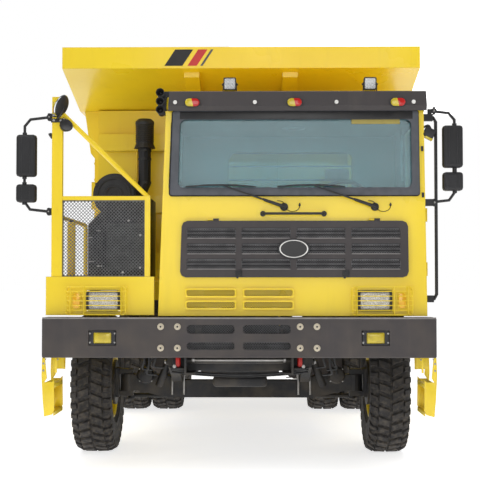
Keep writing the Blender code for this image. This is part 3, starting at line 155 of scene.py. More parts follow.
def noiseOf(tree, place, scale, detail=4.0, low=0.35, high=0.65, stretch=None):
    if stretch is not None:
        mapping = tree.nodes.new("ShaderNodeMapping")
        mapping.inputs["Scale"].default_value = stretch
        tree.links.new(place, mapping.inputs["Vector"])
        place = mapping.outputs["Vector"]
    node = tree.nodes.new("ShaderNodeTexNoise")
    tree.links.new(place, node.inputs["Vector"])
    node.inputs["Scale"].default_value = scale
    node.inputs["Detail"].default_value = detail
    return rangeOf(tree, node.outputs["Fac"], low, high)


def mixOf(tree, amount, first, second):
    node = tree.nodes.new("ShaderNodeMix")
    node.data_type = "RGBA"
    plug(tree, amount, node.inputs[0])
    plug(tree, first, node.inputs[6])
    plug(tree, second, node.inputs[7])
    return node.outputs[2]


def bumpOf(tree, height, strength, distance, normal=None):
    node = tree.nodes.new("ShaderNodeBump")
    node.inputs["Strength"].default_value = strength
    node.inputs["Distance"].default_value = distance
    tree.links.new(height, node.inputs["Height"])
    if normal is not None:
        tree.links.new(normal, node.inputs["Normal"])
    return node.outputs["Normal"]


# Rounded-looking edges, and a mask that is 1 on them.
def edgesOf(tree, radius):
    bevel = tree.nodes.new("ShaderNodeBevel")
    bevel.samples = 4
    bevel.inputs["Radius"].default_value = radius
    facing = tree.nodes.new("ShaderNodeNewGeometry")
    dot = tree.nodes.new("ShaderNodeVectorMath")
    dot.operation = "DOT_PRODUCT"
    tree.links.new(bevel.outputs["Normal"], dot.inputs[0])
    tree.links.new(facing.outputs["Normal"], dot.inputs[1])
    return bevel.outputs["Normal"], rangeOf(tree, mathOf(tree, "SUBTRACT", 1.0, dot.outputs["Value"]), 0.02,
        0.16)


def heightOf(tree, place):
    split = tree.nodes.new("ShaderNodeSeparateXYZ")
    tree.links.new(place, split.inputs[0])
    return split.outputs


def paintMaterial(name, look):
    made, tree, shader, place = startMaterial(name, look.get("metallic", 0.0))
    axes = heightOf(tree, place)
    cloud = noiseOf(tree, place, 1.1, 5.0, 0.3, 0.7)
    colour = mixOf(tree, cloud, look["colour"], look["shade"])
    streaks = noiseOf(tree, place, 9.0, 6.0, 0.56, 0.8, (1.0, 1.0, 0.12))
    colour = mixOf(tree, mathOf(tree, "MULTIPLY", streaks, look["streaks"]), colour, look["grime"])
    # Dust settles low down
    low = rangeOf(tree, axes[2], look["dustTop"], 0.1)
    dust = mathOf(tree, "MULTIPLY", noiseOf(tree, place, 4.0, 9.0, 0.42, 0.75), low)
    colour = mixOf(tree, mathOf(tree, "MULTIPLY", dust, look["dust"]), colour, (0.36, 0.29, 0.20))
    normal, edge = edgesOf(tree, look["edge"])
    chips = mathOf(tree, "MULTIPLY", edge, noiseOf(tree, place, 38.0, 6.0, 0.5, 0.62))
    colour = mixOf(tree, mathOf(tree, "MULTIPLY", chips, look["wear"]), colour, look["bare"])
    if "inside" in look:
        low, high, trim = look["inside"]
        inner = 1.0
        for axis in range(3):
            for operation, limit in (("GREATER_THAN", low[axis]), ("LESS_THAN", high[axis])):
                inner = mathOf(tree, "MULTIPLY", inner, mathOf(tree, operation, axes[axis], limit))
        colour = mixOf(tree, inner, colour, trim)
    plug(tree, colour, shader.inputs["Base Color"])
    rough = mathOf(tree, "ADD", rangeOf(tree, cloud, 0.0, 1.0, *look["rough"]),
        mathOf(tree, "MULTIPLY", dust, 0.3))
    plug(tree, rough, shader.inputs["Roughness"])
    shader.inputs["Coat Weight"].default_value = look.get("coat", 0.0)
    shader.inputs["Coat Roughness"].default_value = 0.12
    grain = noiseOf(tree, place, look["grainScale"], 3.0, 0.2, 0.8)
    plug(tree, bumpOf(tree, grain, look["grain"], 0.002, normal), shader.inputs["Normal"])
    return made


yellowLook = {"colour": (0.90, 0.665, 0.018), "shade": (0.83, 0.60, 0.015), "streaks": 0.10,
    "grime": (0.30, 0.21, 0.05), "dustTop": 1.6, "dust": 0.30, "edge": 0.008, "wear": 0.55,
    "bare": (0.50, 0.36, 0.06), "rough": (0.26, 0.38), "coat": 0.35, "grainScale": 240.0, "grain": 0.10}
darkLook = {"colour": (0.052, 0.044, 0.044), "shade": (0.040, 0.035, 0.036), "streaks": 0.25,
    "grime": (0.10, 0.085, 0.07), "dustTop": 1.9, "dust": 0.22, "edge": 0.006, "wear": 0.7,
    "bare": (0.15, 0.135, 0.125), "rough": (0.42, 0.58), "grainScale": 420.0, "grain": 0.35}
blackLook = {"colour": (0.022, 0.022, 0.024), "shade": (0.013, 0.013, 0.014), "streaks": 0.35,
    "grime": (0.06, 0.05, 0.04), "dustTop": 1.5, "dust": 0.35, "edge": 0.006, "wear": 0.6,
    "bare": (0.11, 0.10, 0.095), "rough": (0.38, 0.62), "grainScale": 300.0, "grain": 0.35,
    "metallic": 0.15}
cabLook = {**yellowLook, "inside": ((-0.66, -4.245, 1.49), (1.594, -2.555, 3.175), (0.22, 0.23, 0.23))}
yellow = paintMaterial("yellowPaint", yellowLook)
cabYellow = paintMaterial("cabPaint", cabLook)
thinYellow = paintMaterial("thinYellowPaint", {**yellowLook, "wear": 0.0, "edge": 0.001})
darkGrey = paintMaterial("darkGreyPaint", darkLook)
blackSteel = paintMaterial("blackSteel", blackLook)


def rubberMaterial(name, look):
    made, tree, shader, place = startMaterial(name)
    axes = heightOf(tree, place)
    cloud = noiseOf(tree, place, 7.0, 7.0, 0.3, 0.75)
    colour = mixOf(tree, cloud, look["colour"], look["shade"])
    dust = mathOf(tree, "MULTIPLY", noiseOf(tree, place, 26.0, 9.0, 0.42, 0.7),
        rangeOf(tree, axes[2], 1.3, 0.1, 0.25, 1.0))
    colour = mixOf(tree, mathOf(tree, "MULTIPLY", dust, look["dust"]), colour, (0.20, 0.165, 0.125))
    plug(tree, colour, shader.inputs["Base Color"])
    plug(tree, rangeOf(tree, cloud, 0.0, 1.0, 0.72, 0.92), shader.inputs["Roughness"])
    grain = noiseOf(tree, place, 160.0, 5.0, 0.2, 0.8)
    plug(tree, bumpOf(tree, grain, 0.45, 0.003), shader.inputs["Normal"])
    return made


rubber = rubberMaterial("tyreRubber", {"colour": (0.030, 0.028, 0.028), "shade": (0.017, 0.016, 0.016),
    "dust": 0.38})
softRubber = rubberMaterial("sealRubber", {"colour": (0.016, 0.016, 0.017), "shade": (0.010, 0.010, 0.011),
    "dust": 0.08})


# Metal, plastic and lens finishes share one pattern: a base tone, a fine grain and faint smears.
def plainMaterial(name, look):
    made, tree, shader, place = startMaterial(name, look.get("metallic", 0.0), look.get("ior", 1.45))
    cloud = noiseOf(tree, place, look.get("cloudScale", 14.0), 5.0, 0.3, 0.7)
    plug(tree, mixOf(tree, cloud, look["colour"], look["shade"]), shader.inputs["Base Color"])
    plug(tree, rangeOf(tree, cloud, 0.0, 1.0, *look["rough"]), shader.inputs["Roughness"])
    grain = noiseOf(tree, place, look.get("grainScale", 500.0), 3.0, 0.2, 0.8, look.get("stretch"))
    plug(tree, bumpOf(tree, grain, look.get("grain", 0.2), 0.001), shader.inputs["Normal"])
    shader.inputs["Alpha"].default_value = look.get("alpha", 1.0)
    shader.inputs["Transmission Weight"].default_value = look.get("clear", 0.0)
    shader.inputs["Coat Weight"].default_value = look.get("coat", 0.0)
    if "glow" in look:
        shader.inputs["Emission Color"].default_value = (*look["colour"], 1.0)
        shader.inputs["Emission Strength"].default_value = look["glow"]
    return made


finishes = {name: plainMaterial(name, look) for name,
    look in {"blackPlastic": {"colour": (0.024, 0.024, 0.026), "shade": (0.015, 0.015, 0.017),
    "rough": (0.38, 0.52), "grain": 0.4}, "greyTrim": {"colour": (0.11, 0.115, 0.12),
    "shade": (0.08, 0.085, 0.09), "rough": (0.6, 0.75), "grain": 0.5},
    "paleTrim": {"colour": (0.34, 0.36, 0.36), "shade": (0.27, 0.29, 0.29), "rough": (0.7, 0.8),
    "grain": 0.4}, "creamPaint": {"colour": (0.62, 0.55, 0.42), "shade": (0.50, 0.44, 0.33),
    "rough": (0.3, 0.45), "coat": 0.3}, "zinc": {"colour": (0.42, 0.41, 0.39), "shade": (0.30, 0.29, 0.28),
    "rough": (0.28, 0.45), "metallic": 0.9}, "zincDark": {"colour": (0.055, 0.053, 0.052),
    "shade": (0.03, 0.03, 0.03), "rough": (0.35, 0.5), "metallic": 0.6},
    "paintedHighlightGrey": {"colour": (0.24, 0.225, 0.22), "shade": (0.17, 0.16, 0.155), "rough": (0.4, 0.55),
    "coat": 0.1}, "sealGrey": {"colour": (0.085, 0.09, 0.105), "shade": (0.065, 0.07, 0.08),
    "rough": (0.5, 0.62), "grain": 0.3}, "dullYellow": {"colour": (0.42, 0.34, 0.09),
    "shade": (0.33, 0.27, 0.07), "rough": (0.5, 0.6), "grain": 0.1},
    "lampInner": {"colour": (0.62, 0.58, 0.50), "shade": (0.45, 0.42, 0.36), "rough": (0.2, 0.35),
    "metallic": 0.5}, "amberPale": {"colour": (0.90, 0.52, 0.02), "shade": (0.80, 0.44, 0.02),
    "rough": (0.12, 0.2), "coat": 0.5, "grain": 0.05},
    "ledWhite": {"colour": (0.62, 0.63, 0.63), "shade": (0.42, 0.43, 0.44), "rough": (0.08, 0.16),
    "coat": 0.6, "grain": 0.05}, "coreFins": {"colour": (0.12, 0.13, 0.115), "shade": (0.08, 0.088, 0.078),
    "rough": (0.4, 0.55), "metallic": 0.5}, "scouredSteel": {"colour": (0.30, 0.29, 0.27),
    "shade": (0.16, 0.14, 0.12), "rough": (0.3, 0.6), "metallic": 0.8, "cloudScale": 2.2,
    "grainScale": 90.0, "stretch": (1.0, 0.12, 1.0)},
    "seatCloth": {"colour": (0.15, 0.17, 0.18), "shade": (0.10, 0.115, 0.125), "rough": (0.85, 0.95),
    "grain": 0.8, "grainScale": 340.0}, "chrome": {"colour": (0.80, 0.80, 0.79),
    "shade": (0.66, 0.66, 0.65), "rough": (0.06, 0.16), "metallic": 1.0, "grain": 0.05},
    "reflector": {"colour": (0.90, 0.89, 0.86), "shade": (0.80, 0.79, 0.76), "rough": (0.12, 0.2),
    "metallic": 1.0, "grain": 0.05}, "clearLens": {"colour": (0.90, 0.89, 0.83),
    "shade": (0.84, 0.83, 0.77), "rough": (0.04, 0.08), "alpha": 0.28, "grain": 0.03},
    "amberLens": {"colour": (0.90, 0.30, 0.015), "shade": (0.75, 0.22, 0.01), "rough": (0.12, 0.2),
    "coat": 0.5, "grain": 0.05}, "yellowLens": {"colour": (0.66, 0.52, 0.03), "shade": (0.45, 0.34, 0.02),
    "rough": (0.12, 0.2), "coat": 0.5}, "redLens": {"colour": (0.55, 0.015, 0.012),
    "shade": (0.40, 0.010, 0.009), "rough": (0.12, 0.2), "coat": 0.5, "grain": 0.05},
    "redPaint": {"colour": (0.58, 0.02, 0.015), "shade": (0.45, 0.015, 0.012), "rough": (0.3, 0.45),
    "coat": 0.2}, "blackFilm": {"colour": (0.012, 0.012, 0.013), "shade": (0.018, 0.017, 0.017),
    "rough": (0.3, 0.4), "grain": 0.08}, "whitePaint": {"colour": (0.78, 0.77, 0.74),
    "shade": (0.68, 0.67, 0.64), "rough": (0.3, 0.4), "coat": 0.2},
    "mirrorGlass": {"colour": (0.72, 0.76, 0.78), "shade": (0.68, 0.72, 0.74), "rough": (0.02, 0.05),
    "metallic": 1.0, "grain": 0.01}, "meshSteel": {"colour": (0.16, 0.16, 0.165),
    "shade": (0.10, 0.10, 0.105), "rough": (0.45, 0.6), "metallic": 0.4},
    "hoseRubber": {"colour": (0.02, 0.02, 0.021), "shade": (0.012, 0.012, 0.013), "rough": (0.55, 0.7),
    "grain": 0.5},}.items()}
print("finishes made:", len(finishes) + 6)


def glassMaterial(name, look):
    made, tree, shader, place = startMaterial(name, 0.0, 1.45)
    axes = heightOf(tree, place)
    # The tint is paler towards the top, a painted reflection of the sky, with faint wiped streaks that pale it too
    paintedSkyReflection = rangeOf(tree, axes[2], 2.35, 3.15)
    smear = noiseOf(tree, place, 1.6, 3.0, 0.35, 0.7, (1.0, 1.0, 2.2))
    reflectionAndSmear = mathOf(tree, "ADD", mathOf(tree, "MULTIPLY", paintedSkyReflection, 0.6), mathOf(tree, "MULTIPLY", smear, 0.4))
    plug(tree, mixOf(tree, reflectionAndSmear, look["colour"], look["sky"]), shader.inputs["Base Color"])
    plug(tree, rangeOf(tree, smear, 0.0, 1.0, 0.0, 0.015), shader.inputs["Roughness"])
    shader.inputs["Transmission Weight"].default_value = look["clear"]
    return made


screenGlass = glassMaterial("screenGlass", {"colour": (0.34, 0.66, 0.72), "sky": (0.54, 0.84, 0.92),
    "clear": 0.90})
sideGlass = glassMaterial("sideGlass", {"colour": (0.50, 0.68, 0.70), "sky": (0.66, 0.80, 0.82),
    "clear": 0.94})


def wearFinish(names, material):
    for name in names:
        slots = nodes[name].data.materials
        slots.clear()
        slots.append(material)


wearFinish(["frame", "front_axle", "middle_axle", "rear_axle", "rear_suspension", "engine",
    "gearbox_and_propshaft", "cooling_pack", "air_cleaner", "mirrors_left", "mirrors_right", "hoist_barrel",
    "knuckle_left", "knuckle_right", "tie_rod"], blackSteel)
wearFinish(["front_bumper", "grille_flap", "visor", "fuel_tank", "hydraulic_tank", "battery_box"], darkGrey)
wearFinish(["cab_front", "cab_rear", "cab_side_right", "cab_roof", "door_left"], cabYellow)
wearFinish(["platform", "guard_frame", "step_left", "step_right", "bed_floor", "bed_side_left",
    "bed_side_right", "bed_front", "bed_canopy"], yellow)
wearFinish([name for name in nodes if name.endswith(("_rim_left", "_rim_right", "_rims"))], yellow)
wearFinish([name for name in nodes if "tyre" in name], rubber)
wearFinish(["windshield"], screenGlass)
wearFinish(["rear_glass", "side_glass_right", "door_glass_left"], sideGlass)
wearFinish(["cab_floor", "dashboard", "driver_seat", "passenger_seat"], finishes["greyTrim"])
wearFinish(["hoist_rod"], finishes["chrome"])
wearFinish(["guard_mesh"], finishes["meshSteel"])
wearFinish(["headlamp_left", "headlamp_right"], finishes["clearLens"])
print("frame painted")

# Shape tools. Each gives a small bmesh, and join() adds it to the one that becomes a piece.
def tinted(shape, tone):
    for face in shape.faces:
        face.material_index = tone
    return shape


def join(target, *shapes, mirror=False):
    data = bpy.data.meshes.new("joined")
    for shape in shapes:
        shape.to_mesh(data)
        target.from_mesh(data)
        if mirror:
            bmesh.ops.scale(shape, vec=(-1, 1, 1), verts=shape.verts)
            bmesh.ops.reverse_faces(shape, faces=shape.faces)
            shape.to_mesh(data)
            target.from_mesh(data)
        shape.free()
    bpy.data.meshes.remove(data)
    return target


def moved(shape, matrix):
    bmesh.ops.transform(shape, matrix=matrix, verts=shape.verts)
    return shape


def blockShape(low, high, edge=0.0, tone=0, segments=2):
    shape = bmesh.new()
    bmesh.ops.create_cube(shape, size=1.0)
    low, high = Vector(low), Vector(high)
    bmesh.ops.scale(shape, vec=high - low, verts=shape.verts)
    bmesh.ops.translate(shape, vec=(low + high) / 2, verts=shape.verts)
    if edge:
        bmesh.ops.bevel(shape, geom=shape.edges[:], offset=edge, segments=segments, profile=0.5,
            affect="EDGES", material=-1)
    return tinted(shape, tone)


def rodShape(start, end, radius, endRadius=None, sides=16, edge=0.0, tone=0):
    start, end = Vector(start), Vector(end)
    shape = bmesh.new()
    bmesh.ops.create_cone(shape, cap_ends=True, cap_tris=False, segments=sides, radius1=radius,
        radius2=radius if endRadius is None else endRadius, depth=(end - start).length)
    if edge:
        rims = [side for side in shape.edges if any(len(face.verts) > 4 for face in side.link_faces)]
        bmesh.ops.bevel(shape, geom=rims, offset=edge, segments=2, profile=0.5, affect="EDGES", material=-1)
    turn = (end - start).to_track_quat("Z", "Y").to_matrix().to_4x4()
    return tinted(moved(shape, Matrix.Translation((start + end) / 2) @ turn), tone)


# A profile of (along, radius) points spun about an axis through centre.
def turnedShape(profile, centre, axis=(1, 0, 0), steps=32, closed=False, tone=0):
    shape = bmesh.new()
    corners = [shape.verts.new((along, 0.0, radius)) for along, radius in profile]
    pairs = list(zip(corners, corners[1:])) + ([(corners[-1], corners[0])] if closed else [])
    lines = [shape.edges.new(pair) for pair in pairs]
    bmesh.ops.spin(shape, geom=corners + lines, cent=(0, 0, 0), axis=(1, 0, 0), angle=math.tau, steps=steps,
        use_merge=True)
    bmesh.ops.remove_doubles(shape, verts=shape.verts, dist=1e-6)
    bmesh.ops.recalc_face_normals(shape, faces=shape.faces)
    turn = Vector(axis).to_track_quat("X", "Z").to_matrix().to_4x4()
    return tinted(moved(shape, Matrix.Translation(centre) @ turn), tone)


# Corners of a path are rounded by a short curve at each inner point.
def softened(points, corner):
    points = [Vector(point) for point in points]
    path = [points[0]]
    for before, here, after in zip(points, points[1:], points[2:]):
        into = here + (before - here).normalized() * min(corner, (before - here).length * 0.45)
        out = here + (after - here).normalized() * min(corner, (after - here).length * 0.45)
        for share in (0.0, 0.25, 0.5, 0.75, 1.0):
            path.append(into.lerp(here, share).lerp(here.lerp(out, share), share))
    return path + [points[-1]]


def hoseShape(points, radius, corner=0.0, level=3, tone=0):
    curve = bpy.data.curves.new("path", "CURVE")
    curve.dimensions = "3D"
    curve.bevel_depth = radius
    curve.bevel_resolution = level
    curve.use_fill_caps = True
    path = softened(points, corner) if corner else [Vector(point) for point in points]
    spline = curve.splines.new("POLY")
    spline.points.add(len(path) - 1)
    for point, place in zip(spline.points, path):
        point.co = (*place, 1.0)
    carrier = bpy.data.objects.new("path", curve)
    data = bpy.data.meshes.new_from_object(carrier)
    shape = bmesh.new()
    shape.from_mesh(data)
    bpy.data.objects.remove(carrier)
    bpy.data.curves.remove(curve)
    bpy.data.meshes.remove(data)
    bmesh.ops.remove_doubles(shape, verts=shape.verts, dist=1e-6)
    bmesh.ops.recalc_face_normals(shape, faces=shape.faces)
    return tinted(shape, tone)


def boltShape(place, axis, radius, height, tone=0, sides=6):
    place, axis = Vector(place), Vector(axis).normalized()
    shape = rodShape(place, place + axis * height * 0.3, radius * 1.35, sides=16, tone=tone)
    return join(shape, rodShape(place + axis * height * 0.25, place + axis * height, radius, sides=sides,
        edge=height * 0.15, tone=tone))


# A sheet across Y with staggered holes: low and high are its (x, z) corners.
def holedShape(low, high, y, pitch, bar, thick, tone=0):
    width, height = high[0] - low[0], high[1] - low[1]
    cells = math.ceil((width + height) / math.sqrt(2) / pitch)
    shape = bmesh.new()
    middle = Vector(((low[0] + high[0]) / 2, y, (low[1] + high[1]) / 2))
    turn = Matrix.Translation(middle) @ Matrix.Rotation(math.pi / 2, 4, "X") @ Matrix.Rotation(math.pi / 4,
        4, "Z")
    bmesh.ops.create_grid(shape, x_segments=cells, y_segments=cells, size=cells * pitch / 2, matrix=turn)
    for place, outward in (((low[0], y, 0), (-1, 0, 0)), ((high[0], y, 0), (1, 0, 0)),
            ((0, y, low[1]), (0, 0, -1)), ((0, y, high[1]), (0, 0, 1))):
        bmesh.ops.bisect_plane(shape, geom=shape.verts[:] + shape.edges[:] + shape.faces[:], plane_co=place,
            plane_no=outward, clear_outer=True)
    whole = [face for face in shape.faces if face.calc_area() > 0.95 * pitch * pitch]
    bmesh.ops.inset_individual(shape, faces=whole, thickness=bar / 2)
    bmesh.ops.delete(shape, geom=whole, context="FACES")
    bmesh.ops.solidify(shape, geom=shape.faces[:], thickness=thick)
    return tinted(shape, tone)


# A flat outline of (x, z) points given depth along Y.
def plateShape(outline, yLow, yHigh, edge=0.0, tone=0):
    shape = bmesh.new()
    face = shape.faces.new([shape.verts.new((x, yLow, z)) for x, z in outline])
    made = bmesh.ops.extrude_face_region(shape, geom=[face])["geom"]
    raised = [item for item in made if isinstance(item, bmesh.types.BMVert)]
    bmesh.ops.translate(shape, vec=(0, yHigh - yLow, 0), verts=raised)
    bmesh.ops.recalc_face_normals(shape, faces=shape.faces)
    if edge:
        bmesh.ops.bevel(shape, geom=shape.edges[:], offset=edge, segments=2, profile=0.5, affect="EDGES",
            material=-1)
    return tinted(shape, tone)


def roundedOutline(low, high, radius, steps=4):
    points = []
    for cornerX, cornerZ, start in ((high[0] - radius, high[1] - radius, 0),
            (low[0] + radius, high[1] - radius, 90), (low[0] + radius, low[1] + radius, 180),
            (high[0] - radius, low[1] + radius, 270)):
        for step in range(steps + 1):
            angle = math.radians(start + 90 * step / steps)
            points.append((cornerX + radius * math.cos(angle), cornerZ + radius * math.sin(angle)))
    return points


# A flat frame between two outlines that have as many points, given depth along Y.
def frameShape(outer, inner, yLow, yHigh, edge=0.0, tone=0):
    shape = bmesh.new()
    loops = []
    for outline in (outer, inner):
        corners = [shape.verts.new((x, yLow, z)) for x, z in outline]
        loops += [shape.edges.new((corners[k - 1], corners[k])) for k in range(len(corners))]
    faces = bmesh.ops.bridge_loops(shape, edges=loops)["faces"]
    made = bmesh.ops.extrude_face_region(shape, geom=faces)["geom"]
    raised = [item for item in made if isinstance(item, bmesh.types.BMVert)]
    bmesh.ops.translate(shape, vec=(0, yHigh - yLow, 0), verts=raised)
    bmesh.ops.recalc_face_normals(shape, faces=shape.faces)
    if edge:
        sharp = [line for line in shape.edges if line.calc_face_angle(0) > 1.0]
        bmesh.ops.bevel(shape, geom=sharp, offset=edge, segments=2, profile=0.5, affect="EDGES",
            material=-1)
    return tinted(shape, tone)


def finishPiece(target, name, finish, body, sharp=38.0):
    data = bpy.data.meshes.new(name)
    target.to_mesh(data)
    target.free()
    data.shade_smooth()
    data.set_sharp_from_angle(angle=math.radians(sharp))
    for material in (finish if isinstance(finish, (list, tuple)) else [finish]):
        data.materials.append(material)
    piece = bpy.data.objects.new(name, data)
    scene.collection.objects.link(piece)
    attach(piece, body)
    return piece


def middleOf(node):
    nodeLow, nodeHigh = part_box(node)
    return (nodeLow + nodeHigh) / 2


# Tyres: a carcass with two rows of slanted blocks and a row of lugs on each shoulder
tyreLook = {"bead": 0.3365, "half": 0.184, "base": 0.651, "top": 0.6755, "pitches": 38, "slant": 0.40,
    "blockWide": 0.108, "blockLong": 0.080, "lugLong": 0.052, "edge": 0.004}


def treadBlock(inner, outer, length, slant, height, across):
    shape = bmesh.new()
    bmesh.ops.create_cube(shape, size=1.0)
    top = [vert for vert in shape.verts if vert.co.z > 0]
    bmesh.ops.scale(shape, vec=(0.93, 0.86, 1.0), verts=top)
    bmesh.ops.scale(shape, vec=(outer - inner, length, height), verts=shape.verts)
    rim = [line for line in shape.edges if all(vert in top for vert in line.verts)]
    bmesh.ops.bevel(shape, geom=rim, offset=tyreLook["edge"], segments=1, profile=0.5, affect="EDGES",
        material=-1)
    middle = (inner + outer) / 2
    for vert in shape.verts:
        x = vert.co.x + middle
        vert.co = ((x * across), vert.co.y + slant * (x - 0.07),
            vert.co.z + tyreLook["top"] - height / 2 - 0.9 * max(x - 0.06, 0.0) ** 2 - 9.0 * max(x - 0.135,
            0.0) ** 2)
    if across < 0:
        bmesh.ops.reverse_faces(shape, faces=shape.faces)
    return shape


def tyreShape(centre, flip=1):
    look = tyreLook
    half, base, bead = look["half"], look["base"], look["bead"]
    outside = [(0.130, bead), (0.142, bead + 0.004), (0.150, bead + 0.020), (0.164, 0.385), (0.170, 0.396),
        (0.175, 0.398), (0.176, 0.408), (0.174, 0.412), (0.181, 0.455), (half, 0.495), (half, 0.540),
        (0.182, 0.570), (0.186, 0.576), (0.186, 0.590), (0.181, 0.596), (0.176, 0.615), (0.163, 0.636),
        (0.140, base - 0.006), (0.080, base), (0.0, base + 0.002)]
    profile = outside + [(-along, radius) for along, radius in reversed(outside[:-1])]
    tyre = turnedShape(profile, (0, 0, 0), steps=76, closed=True)
    tread = bmesh.new()
    pitch = math.tau / look["pitches"]
    for across, lead in ((1, 0.0), (-1, 0.5)):
        side = bmesh.new()
        join(side, treadBlock(0.008, 0.008 + look["blockWide"], look["blockLong"], look["slant"], 0.034,
            across))
        join(side, treadBlock(0.124, 0.190, look["lugLong"], look["slant"] * 0.5, 0.052, across))
        join(tread, moved(side, Matrix.Rotation(lead * pitch, 4, "X")))
    bmesh.ops.spin(tread, geom=tread.verts[:] + tread.edges[:] + tread.faces[:], cent=(0, 0, 0),
        axis=(1, 0, 0), angle=math.tau - pitch, steps=look["pitches"] - 1, use_duplicate=True)
    join(tyre, tread)
    return moved(tyre, Matrix.Translation(centre) @ Matrix.Rotation(math.pi if flip < 0 else 0.0, 4, "Z"))


# Rims: barrel, lips, dished disc, hub and studs; the hand holes are black discs, painted shade where a hole would
# show the dark inside
frontRim = {"profile": ((0.176, 0.0), (0.176, 0.055), (0.170, 0.064), (0.156, 0.066), (0.154, 0.108),
    (0.150, 0.114), (0.150, 0.188), (0.144, 0.194), (0.062, 0.198), (0.054, 0.206), (0.050, 0.270),
    (0.056, 0.292), (0.080, 0.308), (0.128, 0.318), (0.140, 0.322), (0.147, 0.330), (0.151, 0.345),
    (0.147, 0.353), (0.142, 0.348), (0.139, 0.335), (-0.139, 0.335), (-0.142, 0.348), (-0.147, 0.353),
    (-0.151, 0.345), (-0.147, 0.330), (-0.140, 0.322), (-0.128, 0.315), (0.020, 0.308), (0.020, 0.12),
    (-0.040, 0.12), (-0.040, 0.0)), "studs": 10, "studRing": 0.152, "studFrom": 0.149, "studTo": 0.214,
    "studRadius": 0.0125, "holes": 10, "holeRing": 0.252, "holeFrom": 0.049, "holeRadius": 0.024}
twinRim = {"profile": ((0.270, 0.0), (0.270, 0.070), (0.262, 0.082), (0.244, 0.086), (0.240, 0.118),
    (0.232, 0.126), (0.120, 0.138), (0.072, 0.146), (0.068, 0.240), (0.058, 0.246), (0.052, 0.268),
    (0.060, 0.290), (0.084, 0.306), (0.330, 0.318), (0.355, 0.322), (0.362, 0.330), (0.366, 0.345),
    (0.362, 0.353), (0.357, 0.348), (0.354, 0.335), (-0.354, 0.335), (-0.357, 0.348), (-0.362, 0.353),
    (-0.366, 0.345), (-0.362, 0.330), (-0.355, 0.322), (-0.330, 0.315), (-0.018, 0.308), (-0.018, 0.0)),
    "studs": 12, "studRing": 0.194, "studFrom": 0.066, "studTo": 0.108, "studRadius": 0.0145, "holes": 10,
    "holeRing": 0.272, "holeFrom": 0.051, "holeRadius": 0.018}


def rimShape(look, centre, side):
    rim = turnedShape(look["profile"], (0, 0, 0), steps=56)
    for count, ring, start, end, radius, tone in ((look["studs"], look["studRing"], look["studFrom"],
            look["studTo"], look["studRadius"], 1), (look["holes"], look["holeRing"], look["holeFrom"],
            look["holeFrom"] + 0.003, look["holeRadius"], 2)):
        one = bmesh.new()
        if tone == 1:
            join(one, rodShape((start, 0, ring), (start + 0.006, 0, ring), radius * 1.5, tone=tone),
                rodShape((start, 0, ring), (start + (end - start) * 0.62, 0, ring), radius * 1.25, sides=6,
                edge=0.002, tone=tone), rodShape((start, 0, ring), (end, 0, ring), radius * 0.75, sides=10,
                edge=0.002, tone=tone))
        else:
            # Hand holes: a shallow black disc each, painted shade in place of an open hole
            join(one, turnedShape(((0.003, 0.0), (0.003, radius), (0.006, radius + 0.001),
                (0.006, radius + 0.005), (0.0, radius + 0.006)), (start, 0, ring), steps=18, tone=tone))
        moved(one, Matrix.Rotation(math.pi / count, 4, "X"))
        bmesh.ops.spin(one, geom=one.verts[:] + one.edges[:] + one.faces[:], cent=(0, 0, 0), axis=(1, 0, 0),
            angle=math.tau * (count - 1) / count, steps=count - 1, use_duplicate=True)
        join(rim, one)
    # Breather cap in the middle and a valve stem by the lip
    end = look["profile"][0][0]
    join(rim, rodShape((end - 0.002, 0, 0), (end + 0.014, 0, 0), 0.022, sides=6, edge=0.003, tone=1),
        rodShape((0.09, 0, -0.296), (0.15, 0, -0.270), 0.007, sides=10, edge=0.002, tone=1))
    return moved(rim, Matrix.Translation(centre) @ Matrix.Rotation(math.pi if side < 0 else 0.0, 4, "Z"))


twinOffset = 0.215
rimFinish = [yellow, finishes["zincDark"], finishes["blackFilm"]]
for name, side in bothSides:
    centre = middleOf("front_tyre_" + name)
    body = "front_wheel_" + name
    tyre = finishPiece(tyreShape(centre, side), "frontTyre." + name, rubber, body)
    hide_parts("front_tyre_" + name)
    rim = finishPiece(rimShape(frontRim, centre, side), "frontRim." + name, rimFinish, body)
    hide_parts("front_rim_" + name)
    for axle in ("middle", "rear"):
        body = axle + "_wheel_" + name
        centre = middleOf(body + "_tyres")
        pair = join(tyreShape(centre + Vector((twinOffset, 0, 0)), side),
            tyreShape(centre - Vector((twinOffset, 0, 0)), side))
        join(pair, turnedShape(((-0.07, 0.3365), (0.07, 0.3365), (0.07, 0.36), (-0.07, 0.36)), centre,
            steps=48, closed=True))
        tyre = finishPiece(pair, axle + "Tyres." + name, rubber, body)
        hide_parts(body + "_tyres")
        rim = finishPiece(rimShape(twinRim, centre, side), axle + "Rims." + name, rimFinish, body)
        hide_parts(body + "_rims")
print("wheels made")


# Bumper fittings: bolts, mesh behind the slots, fog lamps, towing pins
bumperLow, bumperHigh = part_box("front_bumper")
face = bumperLow.y
bumperLook = {"boltsX": (0.53, 0.675), "boltsZ": (1.281, 1.097), "slots": ((1.221, 1.295), (1.080, 1.148)),
    "slotX": (0.035, 0.45), "fogX": (1.087, 1.273), "fogZ": (1.122, 1.244), "pinX": 0.53}
bolts = bmesh.new()
for x in bumperLook["boltsX"]:
    for z in bumperLook["boltsZ"]:
        join(bolts, turnedShape(((0.0, 0.0), (0.0, 0.029), (0.004, 0.029), (0.007, 0.027), (0.009, 0.022),
            (0.016, 0.020), (0.020, 0.015), (0.020, 0.009), (0.010, 0.008), (0.010, 0.0)), (x, face, z),
            (0, -1, 0), steps=24), mirror=True)
        join(bolts, rodShape((x, face - 0.009, z), (x, face - 0.013, z), 0.0085, sides=12, tone=1),
            mirror=True)
finishPiece(bolts, "bumperBolts", [finishes["creamPaint"], finishes["blackFilm"]], "chassis")

